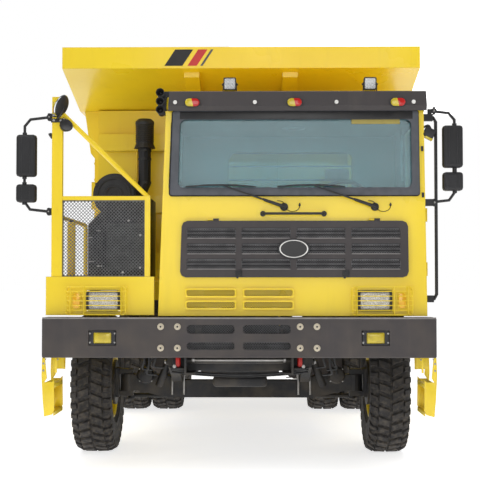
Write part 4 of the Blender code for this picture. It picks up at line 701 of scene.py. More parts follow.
bumperMesh = bmesh.new()
for zLow, zHigh in bumperLook["slots"]:
    join(bumperMesh, holedShape((bumperLook["slotX"][0] - 0.006, zLow - 0.006),
        (bumperLook["slotX"][1] + 0.006, zHigh + 0.006), face + 0.044, 0.0155, 0.005, 0.0015), mirror=True)
finishPiece(bumperMesh, "bumperMesh", finishes["meshSteel"], "chassis")

fogLamps = bmesh.new()
(xLow, xHigh), (zLow, zHigh) = bumperLook["fogX"], bumperLook["fogZ"]
back = face + 0.0275
join(fogLamps, frameShape(roundedOutline((xLow - 0.02, zLow), (xHigh + 0.02, zHigh), 0.014),
    roundedOutline((xLow + 0.016, zLow + 0.014), (xHigh - 0.016, zHigh - 0.014), 0.010), back - 0.030, back,
    0.002, tone=0), mirror=True)
join(fogLamps, blockShape((xLow + 0.010, back - 0.012, zLow + 0.008), (xHigh - 0.010, back, zHigh - 0.008),
    tone=0), mirror=True)
# Bowl and bulb show as bright bands behind a ribbed yellow lens
lens = bmesh.new()
bmesh.ops.create_grid(lens, x_segments=26, y_segments=14, size=0.5,
    matrix=Matrix.Rotation(math.pi / 2, 4, "X"))
for vert in lens.verts:
    across, up = vert.co.x * 2, vert.co.z * 2
    bulge = 0.010 * (1 - across ** 4) * (1 - up ** 4)
    vert.co = ((xLow + xHigh) / 2 + across * 0.078, back - 0.020 - bulge - 0.0009 * math.cos(across * 30),
        (zLow + zHigh) / 2 + up * 0.048)
bmesh.ops.solidify(lens, geom=lens.faces[:], thickness=0.003)
bmesh.ops.recalc_face_normals(lens, faces=lens.faces)
join(fogLamps, tinted(lens, 1), mirror=True)
for x in (xLow - 0.014, xHigh + 0.014):
    for z in (zLow + 0.022, zHigh - 0.022):
        join(fogLamps, boltShape((x, back - 0.029, z), (0, -1, 0), 0.006, 0.008, tone=2), mirror=True)
finishPiece(fogLamps, "fogLamps", [finishes["blackPlastic"], finishes["yellowLens"], finishes["zinc"]],
    "chassis")

towPins = bmesh.new()
x, z = bumperLook["pinX"], bumperLow.z
join(towPins, rodShape((x, face + 0.10, z - 0.078), (x, face + 0.10, z - 0.002), 0.022, sides=20,
    edge=0.003), rodShape((x, face + 0.10, z - 0.086), (x, face + 0.10, z - 0.074), 0.015, sides=16,
    edge=0.002), mirror=True)
finishPiece(towPins, "towPins", finishes["redPaint"], "chassis")

# The bumper's top edge gets a paler strip, a painted highlight where light falls on the top plate, shaped as a
# folded lip along it
lip = bmesh.new()
join(lip, blockShape((bumperLow.x + 0.004, face - 0.003, bumperHigh.z - 0.012),
    (bumperHigh.x - 0.004, face + 0.016, bumperHigh.z + 0.002), 0.0018))
finishPiece(lip, "bumperLip", finishes["paintedHighlightGrey"], "chassis")
print("bumper fitted")


# Cab front. Its upper part leans in, so places across it follow the cab's taper.
cabLow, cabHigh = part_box("cab_front")
cabFace = cabLow.y
lean = {"share": 0.037, "centre": 1.02, "from": 1.37, "over": 1.78}


def leaned(x, z):
    return lean["centre"] + (x - lean["centre"]) * (1 - lean["share"] * (z - lean["from"]) / lean["over"])


def leanOn(shape):
    for vert in shape.verts:
        vert.co.x = leaned(vert.co.x, vert.co.z)
    return shape


screenLook = {"low": (-0.640, 2.424), "high": (1.588, 3.165), "glassLow": (-0.570, 2.492),
    "glassHigh": (1.520, 3.088), "corner": 0.022, "glassCorner": 0.050}
seal = bmesh.new()
join(seal, leanOn(frameShape(roundedOutline(screenLook["low"], screenLook["high"], screenLook["corner"]),
    roundedOutline(screenLook["glassLow"], screenLook["glassHigh"], screenLook["glassCorner"]),
    cabFace - 0.010, cabFace + 0.012, 0.004)))
# A thin bead where the seal meets the panel, and a dark band over the pane's top edge, painted as the shadow under
# the visor
join(seal, leanOn(frameShape(roundedOutline([v - 0.010 for v in screenLook["low"]],
    [v + 0.004 for v in screenLook["high"]], 0.028),
    roundedOutline(screenLook["low"], screenLook["high"], screenLook["corner"]), cabFace - 0.006,
    cabFace + 0.004, 0.002, tone=1)))
finishPiece(seal, "screenSeal", [finishes["sealGrey"], softRubber], "chassis")
# Black band over the seal's top: painted shadow cast by the visor
band = bmesh.new()
join(band, leanOn(blockShape((-0.575, cabFace - 0.012, 3.090), (1.535, cabFace - 0.007, 3.158), 0.002)))
finishPiece(band, "visorShadowBand", finishes["blackFilm"], "chassis")
sticker = bmesh.new()
join(sticker, leanOn(blockShape((0.985, cabFace + 0.0295, 3.052), (1.425, cabFace + 0.0325, 3.122), 0.001)))
finishPiece(sticker, "blankPass", finishes["dullYellow"], "chassis")

# Wipers: motor boss, tapered arm, carrier and blade, with a washer hose looped to its jet
wiperLook = {"pivots": (0.395, 1.186), "pivotZ": 2.322, "blades": ((-0.470, 0.150), (0.335, 0.925)),
    "bladeZ": 2.512, "armTo": 0.045}
wipers = bmesh.new()
for pivotX, (bladeFrom, bladeTo) in zip(wiperLook["pivots"], wiperLook["blades"]):
    z, middle = wiperLook["pivotZ"], (bladeFrom + bladeTo) / 2
    join(wipers, rodShape((pivotX, cabFace + 0.005, z), (pivotX, cabFace - 0.030, z), 0.019, sides=18,
        edge=0.003), rodShape((pivotX, cabFace - 0.028, z), (pivotX, cabFace - 0.040, z), 0.012, sides=6,
        edge=0.002), turnedShape(((0.0, 0.0), (0.0, 0.036), (0.006, 0.034), (0.008, 0.020), (0.008, 0.0)),
        (pivotX, cabFace, z), (0, -1, 0), steps=20))
    start = Vector((pivotX, cabFace - 0.032, z))
    end = Vector((middle + wiperLook["armTo"], cabFace - 0.036, wiperLook["bladeZ"] - 0.012))
    knee = start.lerp(end, 0.34)
    join(wipers, rodShape(start, knee, 0.0155, 0.013, sides=10, edge=0.003),
        rodShape(knee, end, 0.0085, 0.006, sides=8, edge=0.001),
        rodShape(knee - Vector((0.012, 0, -0.008)), knee + Vector((0.012, 0, -0.008)), 0.011, sides=8,
        edge=0.002))
    # The blade bows a little over its length, on a carrier
    count = 8
    spine = [(bladeFrom + (bladeTo - bladeFrom) * k / count, cabFace - 0.024,
        wiperLook["bladeZ"] - 0.014 * (2 * k / count - 1) ** 2) for k in range(count + 1)]
    join(wipers, hoseShape(spine, 0.0065, level=1), hoseShape([(x, y + 0.009, z) for x, y, z in spine],
        0.0042, level=1, tone=1))
    carrier = [(x, y - 0.009, z + 0.003) for x, y, z in spine[2:7]]
    join(wipers, hoseShape(carrier, 0.0052, level=1), rodShape((middle + wiperLook["armTo"] - 0.018,
        cabFace - 0.034, wiperLook["bladeZ"] - 0.004),
        (middle + wiperLook["armTo"] + 0.018, cabFace - 0.034, wiperLook["bladeZ"] - 0.004), 0.010, sides=8,
        edge=0.002))
    jetX = pivotX + 0.135
    loop = [(pivotX + 0.010 + 0.0625 * (1 - math.cos(math.pi * k / 12)),
        cabFace - 0.012 - 0.006 * math.sin(math.pi * k / 12),
        z + 0.008 - 0.050 * math.sin(math.pi * k / 12)) for k in range(13)]
    join(wipers, hoseShape([(pivotX - 0.06, cabFace - 0.02, z + 0.055),
        (pivotX - 0.01, cabFace - 0.02, z + 0.045)] + loop, 0.0032, corner=0.02, level=2, tone=1),
        rodShape((jetX, cabFace + 0.004, z + 0.016), (jetX, cabFace - 0.014, z + 0.016), 0.0105, sides=12,
        edge=0.002), rodShape((jetX, cabFace - 0.013, z + 0.012), (jetX, cabFace - 0.016, z + 0.034),
        0.0055, sides=8))
finishPiece(wipers, "wipers", [finishes["blackPlastic"], softRubber], "chassis")

# Grab bar over the grille, on two round pads
barLook = {"from": 0.21, "to": 0.742, "z": 2.262, "out": 0.046}
grab = bmesh.new()
x, z, y = barLook["from"], barLook["z"], cabFace - barLook["out"]
join(grab, hoseShape([(x, cabFace, z), (x, y, z), (barLook["to"], y, z), (barLook["to"], cabFace, z)],
    0.0115, corner=0.028, level=3))
for x in (barLook["from"], barLook["to"]):
    join(grab, turnedShape(((0.0, 0.0), (0.0, 0.025), (0.006, 0.025), (0.012, 0.016), (0.012, 0.0)),
        (x, cabFace, z), (0, -1, 0), steps=20))
finishPiece(grab, "grabBar", finishes["blackPlastic"], "chassis")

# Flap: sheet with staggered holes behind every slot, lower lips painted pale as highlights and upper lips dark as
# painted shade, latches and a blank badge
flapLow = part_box("grille_flap")[0]
flapFace = flapLow.y
flapLook = {"rows": (1.776, 1.909, 2.045), "first": -0.455, "step": 0.4775, "slot": (0.43, 0.094),
    "sunk": 0.0195, "latchX": (0.0, 0.932), "latchZ": 1.735}
flapMesh = bmesh.new()
lips = bmesh.new()
for z in flapLook["rows"]:
    for column in range(4):
        x = flapLook["first"] + flapLook["step"] * column
        width, height = flapLook["slot"]
        join(flapMesh, holedShape((x, z), (x + width, z + height), flapFace + flapLook["sunk"] - 0.003,
            0.0145, 0.0052, 0.0015))
        # Each slot's lower lip is painted pale as a highlight, its upper lip dark as painted shade
        join(lips, blockShape((x + 0.004, flapFace - 0.004, z - 0.001),
            (x + width - 0.004, flapFace + 0.010, z + 0.007), 0.0022),
            blockShape((x + 0.002, flapFace - 0.001, z + height - 0.004),
            (x + width - 0.002, flapFace + 0.012, z + height + 0.001), 0.0015, tone=1))
        # Two folded vanes stand in each slot
        for rise in (0.34, 0.68):
            join(lips, moved(blockShape((-width / 2 + 0.006, -0.0055, -0.0016),
                (width / 2 - 0.006, 0.0055, 0.0016), 0.0008, tone=1),
                Matrix.Translation((x + width / 2, flapFace + 0.0085,
                z + height * rise)) @ Matrix.Rotation(math.radians(35), 4, "X")))
finishPiece(flapMesh, "grilleMesh", finishes["meshSteel"], "grille_flap")
finishPiece(lips, "grilleLips", [finishes["paintedHighlightGrey"], finishes["blackPlastic"]], "grille_flap")

latches = bmesh.new()
for x in flapLook["latchX"]:
    z = flapLook["latchZ"]
    join(latches, blockShape((x - 0.030, flapFace - 0.007, z - 0.026),
        (x + 0.030, flapFace + 0.003, z + 0.030), 0.004),
        moved(blockShape((-0.010, -0.014, -0.040), (0.010, 0.0, 0.040), 0.004),
        Matrix.Translation((x, flapFace - 0.007, z)) @ Matrix.Rotation(math.radians(24), 4, "Y")),
        rodShape((x, flapFace - 0.004, z), (x, flapFace - 0.026, z), 0.012, sides=14, edge=0.003))
finishPiece(latches, "flapLatches", finishes["blackPlastic"], "grille_flap")

badgeLook = {"centre": (0.478, 1.955), "half": (0.141, 0.087)}
badge = bmesh.new()
for share, front, tone in ((1.0, 0.0150, 0), (0.90, 0.0165, 1), (0.82, 0.0180, 2)):
    oval = turnedShape(((0.0, 0.0), (0.0, 1.0), (front * 0.72, 1.0), (front, 0.985), (front, 0.0)),
        (0, 0, 0), (0, -1, 0), steps=48, tone=tone)
    join(badge, moved(oval, Matrix.Translation((badgeLook["centre"][0], flapFace - 0.001,
        badgeLook["centre"][1])) @ Matrix.Diagonal((badgeLook["half"][0] * share, 1.0,
        badgeLook["half"][1] * share, 1.0))))
finishPiece(badge, "blankBadge", [finishes["blackPlastic"], finishes["whitePaint"], finishes["blackFilm"]],
    "grille_flap")

# Lower slots: yellow holed sheet with rolled edges
slotLook = {"x": (-0.459, 0.043), "z": (1.436, 1.542), "size": (0.428, 0.061)}
lowerMesh = bmesh.new()
lowerRims = bmesh.new()
for x in slotLook["x"]:
    for z in slotLook["z"]:
        width, height = slotLook["size"]
        join(lowerMesh, holedShape((x - 0.006, z - 0.006), (x + width + 0.006, z + height + 0.006),
            cabFace + 0.016, 0.0150, 0.0060, 0.0015))
        join(lowerRims, frameShape(roundedOutline((x - 0.010, z - 0.012),
            (x + width + 0.010, z + height + 0.010), 0.018),
            roundedOutline((x + 0.004, z + 0.004), (x + width - 0.004, z + height - 0.004), 0.012),
            cabFace - 0.006, cabFace + 0.008, 0.003))
finishPiece(lowerMesh, "lowerMesh", thinYellow, "chassis")
finishPiece(lowerRims, "lowerRims", thinYellow, "chassis")
print("grille and screen fitted")


# Headlamps: dark bowl, two reflectors with bulbs, a fluted lens, a gasket and a wire guard
lampLow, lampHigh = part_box("headlamp_left")
lampLook = {"rim": 0.020, "guardX": (0.985, 1.505), "guardZ": (1.382, 1.626), "wire": 0.0048, "wires": 5,
    "turnX": 1.416, "turnHalf": (0.031, 0.066)}


def headlampShape():
    xLow, xHigh, zLow, zHigh = lampLow.x, lampHigh.x, lampLow.z, lampHigh.z
    shape = bmesh.new()
    rim = lampLook["rim"]
    join(shape, frameShape(roundedOutline((xLow + 0.001, zLow + 0.001), (xHigh - 0.001, zHigh - 0.001),
        0.024), roundedOutline((xLow + rim, zLow + rim * 0.7), (xHigh - rim, zHigh - rim * 0.7), 0.020),
        cabFace - 0.008, cabFace + 0.05, 0.003))
    join(shape, blockShape((xLow + 0.004, cabFace + 0.050, zLow + 0.004),
        (xHigh - 0.004, cabFace + 0.055, zHigh - 0.004), tone=0))
    middle = (xLow + xHigh) / 2
    for x, radius in ((middle - 0.062, 0.064), (middle + 0.066, 0.058)):
        join(shape, turnedShape(((0.0, 0.0), (0.002, 0.014), (0.010, 0.034), (0.024, 0.052), (0.034, 0.060),
            (0.030, 0.066), (-0.004, 0.020), (-0.004, 0.0)), (x, cabFace + 0.044, (zLow + zHigh) / 2),
            (0, -1, 0), steps=28, tone=1), rodShape((x, cabFace + 0.044, (zLow + zHigh) / 2),
            (x, cabFace + 0.016, (zLow + zHigh) / 2), 0.014, sides=14, edge=0.004, tone=3),
            turnedShape(((0.0, radius), (0.004, radius), (0.004, radius - 0.004), (0.0, radius - 0.004)),
            (x, cabFace + 0.014, (zLow + zHigh) / 2), (0, -1, 0), steps=28, closed=True, tone=1))
    # Pale inner plate around the bowls
    join(shape, blockShape((xLow + 0.012, cabFace + 0.036, zLow + 0.010),
        (xHigh - 0.012, cabFace + 0.049, zHigh - 0.010), 0.002, tone=4))
    return shape


def lensShape():
    shape = bmesh.new()
    xLow, xHigh, zLow, zHigh = lampLow.x + 0.017, lampHigh.x - 0.017, lampLow.z + 0.012, lampHigh.z - 0.012
    bmesh.ops.create_grid(shape, x_segments=44, y_segments=18, size=0.5,
        matrix=Matrix.Rotation(math.pi / 2, 4, "X"))
    for vert in shape.verts:
        across, up = vert.co.x * 2, vert.co.z * 2
        flute = 0.0012 * math.cos(across * 62) * (1 if abs(up) > 0.34 else 0.4)
        swell = 0.014 * (1 - across ** 6) * (1 - up ** 6)
        vert.co = ((xLow + xHigh) / 2 + across * (xHigh - xLow) / 2, cabFace + 0.004 - swell - flute,
            (zLow + zHigh) / 2 + up * (zHigh - zLow) / 2)
    bmesh.ops.solidify(shape, geom=shape.faces[:], thickness=0.003)
    bmesh.ops.recalc_face_normals(shape, faces=shape.faces)
    return tinted(shape, 2)


def wireGuardShape(stand):
    xLow, xHigh = lampLook["guardX"]
    zLow, zHigh = lampLook["guardZ"]
    wire, shape = lampLook["wire"], bmesh.new()
    y = cabFace - stand
    # Outer hoop, then level wires with their ends turned back to the panel
    hoop = [Vector((x, y, z)) for x, z in roundedOutline((xLow, zLow), (xHigh, zHigh), 0.022, 3)]
    join(shape, hoseShape(hoop + [hoop[0]], wire, level=1))
    for k in range(lampLook["wires"]):
        z = zLow + (zHigh - zLow) * (k + 1) / (lampLook["wires"] + 1)
        join(shape, hoseShape([(xLow, cabFace - 0.002, z), (xLow, y - 0.004, z), (xHigh, y - 0.004, z),
            (xHigh, cabFace - 0.002, z)], wire * 0.85, corner=0.012, level=1))
    for x in (xLow + 0.038, lampLow.x - 0.010, lampHigh.x + 0.012, xHigh - 0.040):
        join(shape, hoseShape([(x, cabFace - 0.002, zLow), (x, y - 0.010, zLow), (x, y - 0.010, zHigh),
            (x, cabFace - 0.002, zHigh)], wire * 0.85, corner=0.012, level=1))
    for x in (xLow, xHigh):
        for z in (zLow + 0.012, zHigh - 0.012):
            join(shape, blockShape((x - 0.011, cabFace - 0.005, z - 0.014),
                (x + 0.011, cabFace + 0.001, z + 0.014), 0.0015),
                boltShape((x, cabFace - 0.005, z), (0, -1, 0), 0.005, 0.006))
    return shape


def turnLampShape():
    shape = bmesh.new()
    wide, tall = lampLook["turnHalf"]
    z, x = (lampLow.z + lampHigh.z) / 2, lampLook["turnX"]
    for grow, start, end, tone in ((1.16, 0.001, -0.010, 0), (1.0, -0.004, -0.024, 1)):
        join(shape, plateShape(roundedOutline((x - wide * grow, z - tall * grow),
            (x + wide * grow, z + tall * grow), wide * 0.96 * grow, 6), cabFace + end, cabFace + start,
            0.003, tone=tone))
    return shape


for name, side in bothSides:
    lamp = headlampShape()
    join(lamp, lensShape())
    guardWire = wireGuardShape(0.034)
    turnLamp = turnLampShape()
    for shape in (lamp, guardWire, turnLamp):
        if side < 0:
            bmesh.ops.scale(shape, vec=(-1, 1, 1), verts=shape.verts)
            bmesh.ops.reverse_faces(shape, faces=shape.faces)
    lampPiece = finishPiece(lamp, "headlamp." + name, [finishes["blackPlastic"], finishes["reflector"],
        finishes["clearLens"], finishes["chrome"], finishes["lampInner"]], "chassis")
    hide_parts("headlamp_" + name)
    finishPiece(guardWire, "lampGuard." + name, thinYellow, "chassis")
    finishPiece(turnLamp, "turnLamp." + name, [thinYellow, finishes["amberPale"]], "chassis")
print("headlamps made")


# Visor fittings, work lamps and horns
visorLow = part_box("visor")[0]
visorLook = {"markers": (-0.404, 0.485, 1.382), "z": 3.228, "half": (0.0635, 0.035),
    "bolts": (-0.555, 0.140, 0.850, 1.520)}
markers = bmesh.new()
wide, tall = visorLook["half"]
for x in visorLook["markers"]:
    z = visorLook["z"]
    join(markers, plateShape(roundedOutline((x - wide - 0.008, z - tall - 0.008),
        (x + wide + 0.008, z + tall + 0.006), tall, 5), visorLow.y - 0.008, visorLow.y + 0.004, 0.002))
    pill = plateShape(roundedOutline((x - wide, z - tall), (x + wide, z + tall), tall * 0.98, 6),
        visorLow.y - 0.030, visorLow.y - 0.006, 0.009)
    bmesh.ops.bisect_plane(pill, geom=pill.verts[:] + pill.edges[:] + pill.faces[:], plane_co=(x, 0, z),
        plane_no=(1, 0, 0.25))
    for face in pill.faces:
        face.material_index = 1 if face.calc_center_median().x < x - 0.25 * (face.calc_center_median().z - z) else 2
    join(markers, pill)
for x in visorLook["bolts"]:
    join(markers, turnedShape(((0.0, 0.0), (0.0, 0.018), (0.004, 0.017), (0.010, 0.012), (0.013, 0.0)),
        (x, visorLow.y, 3.232), (0, -1, 0), steps=16, tone=3))
finishPiece(markers, "visorMarkers", [finishes["blackPlastic"], finishes["yellowLens"], finishes["redLens"],
    finishes["whitePaint"]], "chassis")

workLook = {"x": (-0.08, 1.15), "z": 3.405, "half": 0.055, "deep": 0.062}
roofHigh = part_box("cab_roof")[1]
workLamps = bmesh.new()
for x in workLook["x"]:
    half, y, z = workLook["half"], visorLow.y + 0.075, workLook["z"]
    join(workLamps, blockShape((x - half, y, z - half), (x + half, y + workLook["deep"], z + half), 0.010),
        frameShape(roundedOutline((x - half, z - half), (x + half, z + half), 0.012),
        roundedOutline((x - half + 0.009, z - half + 0.009), (x + half - 0.009, z + half - 0.009), 0.008),
        y - 0.010, y + 0.004, 0.002))
    join(workLamps, blockShape((x - half + 0.008, y - 0.005, z - half + 0.008),
        (x + half - 0.008, y - 0.001, z + half - 0.008), tone=1))
    for row in (-1, 0, 1):
        for column in (-1, 0, 1):
            join(workLamps, turnedShape(((0.0, 0.0135), (0.005, 0.0125), (0.009, 0.008), (0.010, 0.0)),
                (x + column * 0.030, y - 0.003, z + row * 0.030), (0, -1, 0), steps=12, tone=1))
    # Fins behind, and a stirrup down to the visor
    for k in range(5):
        join(workLamps, blockShape((x - half + 0.010 + k * 0.0205, y + workLook["deep"] - 0.004,
            z - half + 0.008), (x - half + 0.016 + k * 0.0205, y + workLook["deep"] + 0.014,
            z + half - 0.008)))
    for way in (-1, 1):
        join(workLamps, blockShape((x + way * (half + 0.004) - 0.003, y + 0.012, z - half - 0.020),
            (x + way * (half + 0.004) + 0.003, y + 0.044, z + 0.012), 0.001),
            boltShape((x + way * (half + 0.006), y + 0.028, z - 0.002), (way, 0, 0), 0.008, 0.010))
    join(workLamps, blockShape((x - half - 0.007, y + 0.012, z - half - 0.026),
        (x + half + 0.007, y + 0.044, z - half - 0.019), 0.001),
        blockShape((x - 0.028, y + 0.016, roofHigh.z - 0.004), (x + 0.028, y + 0.040, z - half - 0.020),
        0.002))
finishPiece(workLamps, "workLamps", [finishes["blackPlastic"], finishes["ledWhite"]], "chassis")

hornLook = {"x": -0.688, "z": (3.322, 3.245, 3.172), "radius": 0.037}
horns = bmesh.new()
for z in hornLook["z"]:
    radius = hornLook["radius"]
    join(horns, turnedShape(((0.0, radius * 0.55), (0.02, radius * 0.62), (0.09, radius * 0.86),
        (0.105, radius), (0.112, radius), (0.112, radius * 0.9), (0.085, radius * 0.7),
        (0.040, radius * 0.3), (0.035, 0.0)), (hornLook["x"], visorLow.y + 0.128, z), (0, -1, 0), steps=24),
        rodShape((hornLook["x"], visorLow.y + 0.235, z), (hornLook["x"], visorLow.y + 0.125, z),
        radius * 0.9, sides=20, edge=0.004))
join(horns, blockShape((hornLook["x"] - 0.006, visorLow.y + 0.140, 3.140),
    (hornLook["x"] + 0.075, visorLow.y + 0.200, 3.350), 0.004))
finishPiece(horns, "horns", finishes["blackPlastic"], "chassis")
print("visor fitted")


# Platform guard: holed steel sheet, clamps, warning lamp, round mirror and spot lamp on the mast
meshLow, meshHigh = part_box("guard_mesh")
guardSheet = bmesh.new()
join(guardSheet, holedShape((meshLow.x, meshLow.z), (meshHigh.x, meshHigh.z), meshLow.y + 0.004, 0.0215,
    0.0072, 0.0018))
edgeWidth = 0.010
join(guardSheet, frameShape([(meshHigh.x, meshHigh.z), (meshLow.x, meshHigh.z), (meshLow.x, meshLow.z),
    (meshHigh.x, meshLow.z)], [(meshHigh.x - edgeWidth, meshHigh.z - edgeWidth),
    (meshLow.x + edgeWidth, meshHigh.z - edgeWidth), (meshLow.x + edgeWidth, meshLow.z + edgeWidth),
    (meshHigh.x - edgeWidth, meshLow.z + edgeWidth)], meshLow.y + 0.001, meshLow.y + 0.006))
sheet = finishPiece(guardSheet, "guardSheet", finishes["meshSteel"], "chassis")
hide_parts("guard_mesh")

guardLow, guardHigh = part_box("guard_frame")
mastX, mastY = guardLow.x + 0.047, guardLow.y + 0.024
mast = bmesh.new()
join(mast, blockShape((mastX - 0.047, mastY - 0.026, guardHigh.z - 0.001),
    (mastX + 0.047, mastY + 0.026, guardHigh.z + 0.004), 0.0015, tone=1))
# Warning lamp on the mast's face
join(mast, blockShape((mastX - 0.036, mastY - 0.034, 3.155), (mastX + 0.012, mastY - 0.023, 3.250), 0.004),
    blockShape((mastX - 0.032, mastY - 0.052, 3.204), (mastX + 0.008, mastY - 0.030, 3.246), 0.006, tone=2),
    blockShape((mastX - 0.032, mastY - 0.052, 3.159), (mastX + 0.008, mastY - 0.030, 3.202), 0.006, tone=3))
# Round front mirror on a clamp, seen from its back edge
dish = turnedShape(((0.020, 0.0), (0.018, 0.040), (0.010, 0.080), (-0.002, 0.108), (-0.010, 0.114),
    (-0.014, 0.110), (-0.011, 0.104), (-0.008, 0.0)), (0, 0, 0), (1, 0, 0), steps=40)
for face in dish.faces:
    if face.calc_center_median().x < -0.006:
        face.material_index = 4
moved(dish, Matrix.Translation((mastX + 0.050, mastY - 0.078, 3.205)) @ Matrix.Rotation(math.radians(24), 4,
    "Y") @ Matrix.Rotation(math.radians(-20), 4, "Z") @ Matrix.Scale(0.90, 4))
join(mast, dish)
join(mast, hoseShape([(mastX + 0.066, mastY - 0.070, 3.195), (mastX + 0.040, mastY - 0.066, 3.150),
    (mastX + 0.010, mastY - 0.060, 3.100), (mastX, mastY - 0.030, 3.098)], 0.011, corner=0.02),
    blockShape((mastX - 0.056, mastY - 0.036, 3.070), (mastX + 0.056, mastY + 0.032, 3.104), 0.004),
    blockShape((mastX - 0.058, mastY - 0.034, 3.118), (mastX + 0.030, mastY - 0.022, 3.146), 0.003))
for z in (3.087, 3.132):
    join(mast, boltShape((mastX - 0.030, mastY - 0.034, z), (0, -1, 0), 0.008, 0.010, tone=5),
        boltShape((mastX + 0.030, mastY - 0.034, z), (0, -1, 0), 0.008, 0.010, tone=5))
# Spot lamp on the mast's inner side, aimed down and ahead
spot = turnedShape(((0.066, 0.0), (0.066, 0.020), (0.050, 0.040), (0.012, 0.058), (0.0, 0.060),
    (-0.006, 0.056), (-0.002, 0.050), (-0.004, 0.0)), (0, 0, 0), (0, 1, 0), steps=28)
moved(spot, Matrix.Translation((mastX + 0.085, mastY - 0.060, 3.042)) @ Matrix.Rotation(math.radians(-24),
    4, "X") @ Matrix.Rotation(math.radians(26), 4, "Z"))
for face in spot.faces:
    if face.normal.y < -0.8 and (face.calc_center_median() - Vector((mastX + 0.085, mastY - 0.060,
            3.042))).length < 0.052:
        face.material_index = 6
join(mast, spot)
join(mast, hoseShape([(mastX + 0.080, mastY - 0.030, 3.045), (mastX + 0.070, mastY - 0.010, 3.085),
    (mastX + 0.045, mastY, 3.090)], 0.009, corner=0.02),
    rodShape((mastX - 0.048, mastY + 0.002, 2.965), (mastX - 0.070, mastY - 0.004, 2.950), 0.022, 0.028,
    sides=16, edge=0.004))
finishPiece(mast, "mastFittings", [finishes["blackPlastic"], yellow, finishes["yellowLens"],
    finishes["redLens"], finishes["mirrorGlass"], finishes["zinc"], finishes["blackFilm"]], "chassis")

# Bolted feet and gussets of the guard, and the hinge bolts of its sheet
guardBolts = bmesh.new()
for x in (meshLow.x - 0.045, meshHigh.x + 0.025):
    for z in (1.80, 2.05, 2.30):
        join(guardBolts, boltShape((x, guardLow.y + 0.0005, z), (0, -1, 0), 0.007, 0.007))
for x, z in ((-0.97, 2.205), (-0.865, 2.078), (-0.868, 1.792), (-1.02, 1.752)):
    join(guardBolts, boltShape((x, meshLow.y + 0.001, z), (0, -1, 0), 0.0075, 0.007, tone=1))
finishPiece(guardBolts, "guardBolts", [thinYellow, finishes["zinc"]], "chassis")


# Cooling pack behind the sheet: finned core, side tanks, hoses and a fan shroud behind
packLow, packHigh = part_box("cooling_pack")
core = bmesh.new()
# Body narrowed to the left, its upper corner cut away, ribbed along its top
packEdge, packCorner = packLow.x + 0.130, packLow.x + 0.250
packTop = packHigh.z - 0.015
join(core, plateShape([(packEdge, packLow.z), (packHigh.x, packLow.z), (packHigh.x, packTop),
    (packCorner, packTop), (packCorner, packTop - 0.120), (packEdge, packTop - 0.240)], packLow.y,
    packHigh.y, 0.010, tone=1))
for k in range(7):
    x = packCorner + 0.03 + 0.062 * k
    join(core, blockShape((x, packLow.y + 0.03, packTop - 0.002),
        (x + 0.012, packHigh.y - 0.03, packTop + 0.008), 0.003, tone=1))
coreLow, coreHigh = (-1.185, packLow.z + 0.06), (-0.835, 2.19)
for k in range(30):
    z = coreLow[1] + (coreHigh[1] - coreLow[1]) * (k + 0.5) / 30
    join(core, blockShape((coreLow[0], packLow.y - 0.012, z - 0.0022),
        (coreHigh[0], packLow.y + 0.002, z + 0.0022)))
for x in (coreLow[0] - 0.02, coreHigh[0] + 0.004):
    join(core, blockShape((x, packLow.y - 0.022, coreLow[1] - 0.03),
        (x + 0.016, packLow.y + 0.002, coreHigh[1] + 0.03), 0.003, tone=1))
for z in (coreLow[1] - 0.03, coreHigh[1] + 0.004):
    join(core, blockShape((coreLow[0] - 0.02, packLow.y - 0.022, z),
        (coreHigh[0] + 0.02, packLow.y + 0.002, z + 0.026), 0.003, tone=1))
for x, low, high in ((-1.325, packLow.z + 0.10, 2.10), (-1.255, packLow.z + 0.06, 2.16)):
    join(core, hoseShape([(x, packLow.y - 0.022, low), (x, packLow.y - 0.030, (low + high) / 2),
        (x + 0.012, packLow.y - 0.022, high), (x + 0.06, packLow.y + 0.010, high + 0.03)], 0.022,
        corner=0.05, tone=2))
    for z in (low + 0.03, high - 0.04):
        join(core, turnedShape(((0.0, 0.0235), (0.010, 0.0235), (0.010, 0.0255), (0.0, 0.0255)),
            (x, packLow.y - 0.0225, z), (0, 0, 1), steps=20, closed=True, tone=3))
join(core, rodShape((-1.16, packLow.y + 0.26, packTop - 0.002), (-1.16, packLow.y + 0.26, packTop + 0.022),
    0.040, sides=24, edge=0.005, tone=1), rodShape((-1.16, packLow.y + 0.26, packTop + 0.018),
    (-1.16, packLow.y + 0.26, packTop + 0.036), 0.028, sides=8, edge=0.004, tone=1))
# Fan shroud, blades and guard ring on the rear face
backY = packHigh.y
fanAt = Vector((-1.14, backY, 2.02))
join(core, turnedShape(((0.0, 0.255), (0.050, 0.245), (0.050, 0.235), (0.0, 0.235)), fanAt, (0, 1, 0),
    steps=36, closed=True, tone=1), rodShape(fanAt, fanAt + Vector((0, 0.034, 0)), 0.055, sides=20,
    edge=0.006, tone=1))
blades = bmesh.new()
join(blades, moved(blockShape((-0.048, 0.010, 0.045), (0.048, 0.016, 0.225), 0.002, tone=1),
    Matrix.Rotation(math.radians(24), 4, "Z")))
bmesh.ops.spin(blades, geom=blades.verts[:] + blades.edges[:] + blades.faces[:], cent=(0, 0, 0),
    axis=(0, 1, 0), angle=math.tau * 7 / 8, steps=7, use_duplicate=True)
join(core, moved(blades, Matrix.Translation(fanAt + Vector((0, 0.008, 0)))))
for radius in (0.06, 0.12, 0.18, 0.235):
    ring = [fanAt + Vector((radius * math.cos(math.tau * k / 28), 0.052,
        radius * math.sin(math.tau * k / 28))) for k in range(29)]
    join(core, hoseShape(ring, 0.003, level=1, tone=3))
pack = finishPiece(core, "coolingDetail", [finishes["coreFins"], blackSteel, finishes["hoseRubber"],
    finishes["zinc"]], "chassis")
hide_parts("cooling_pack")

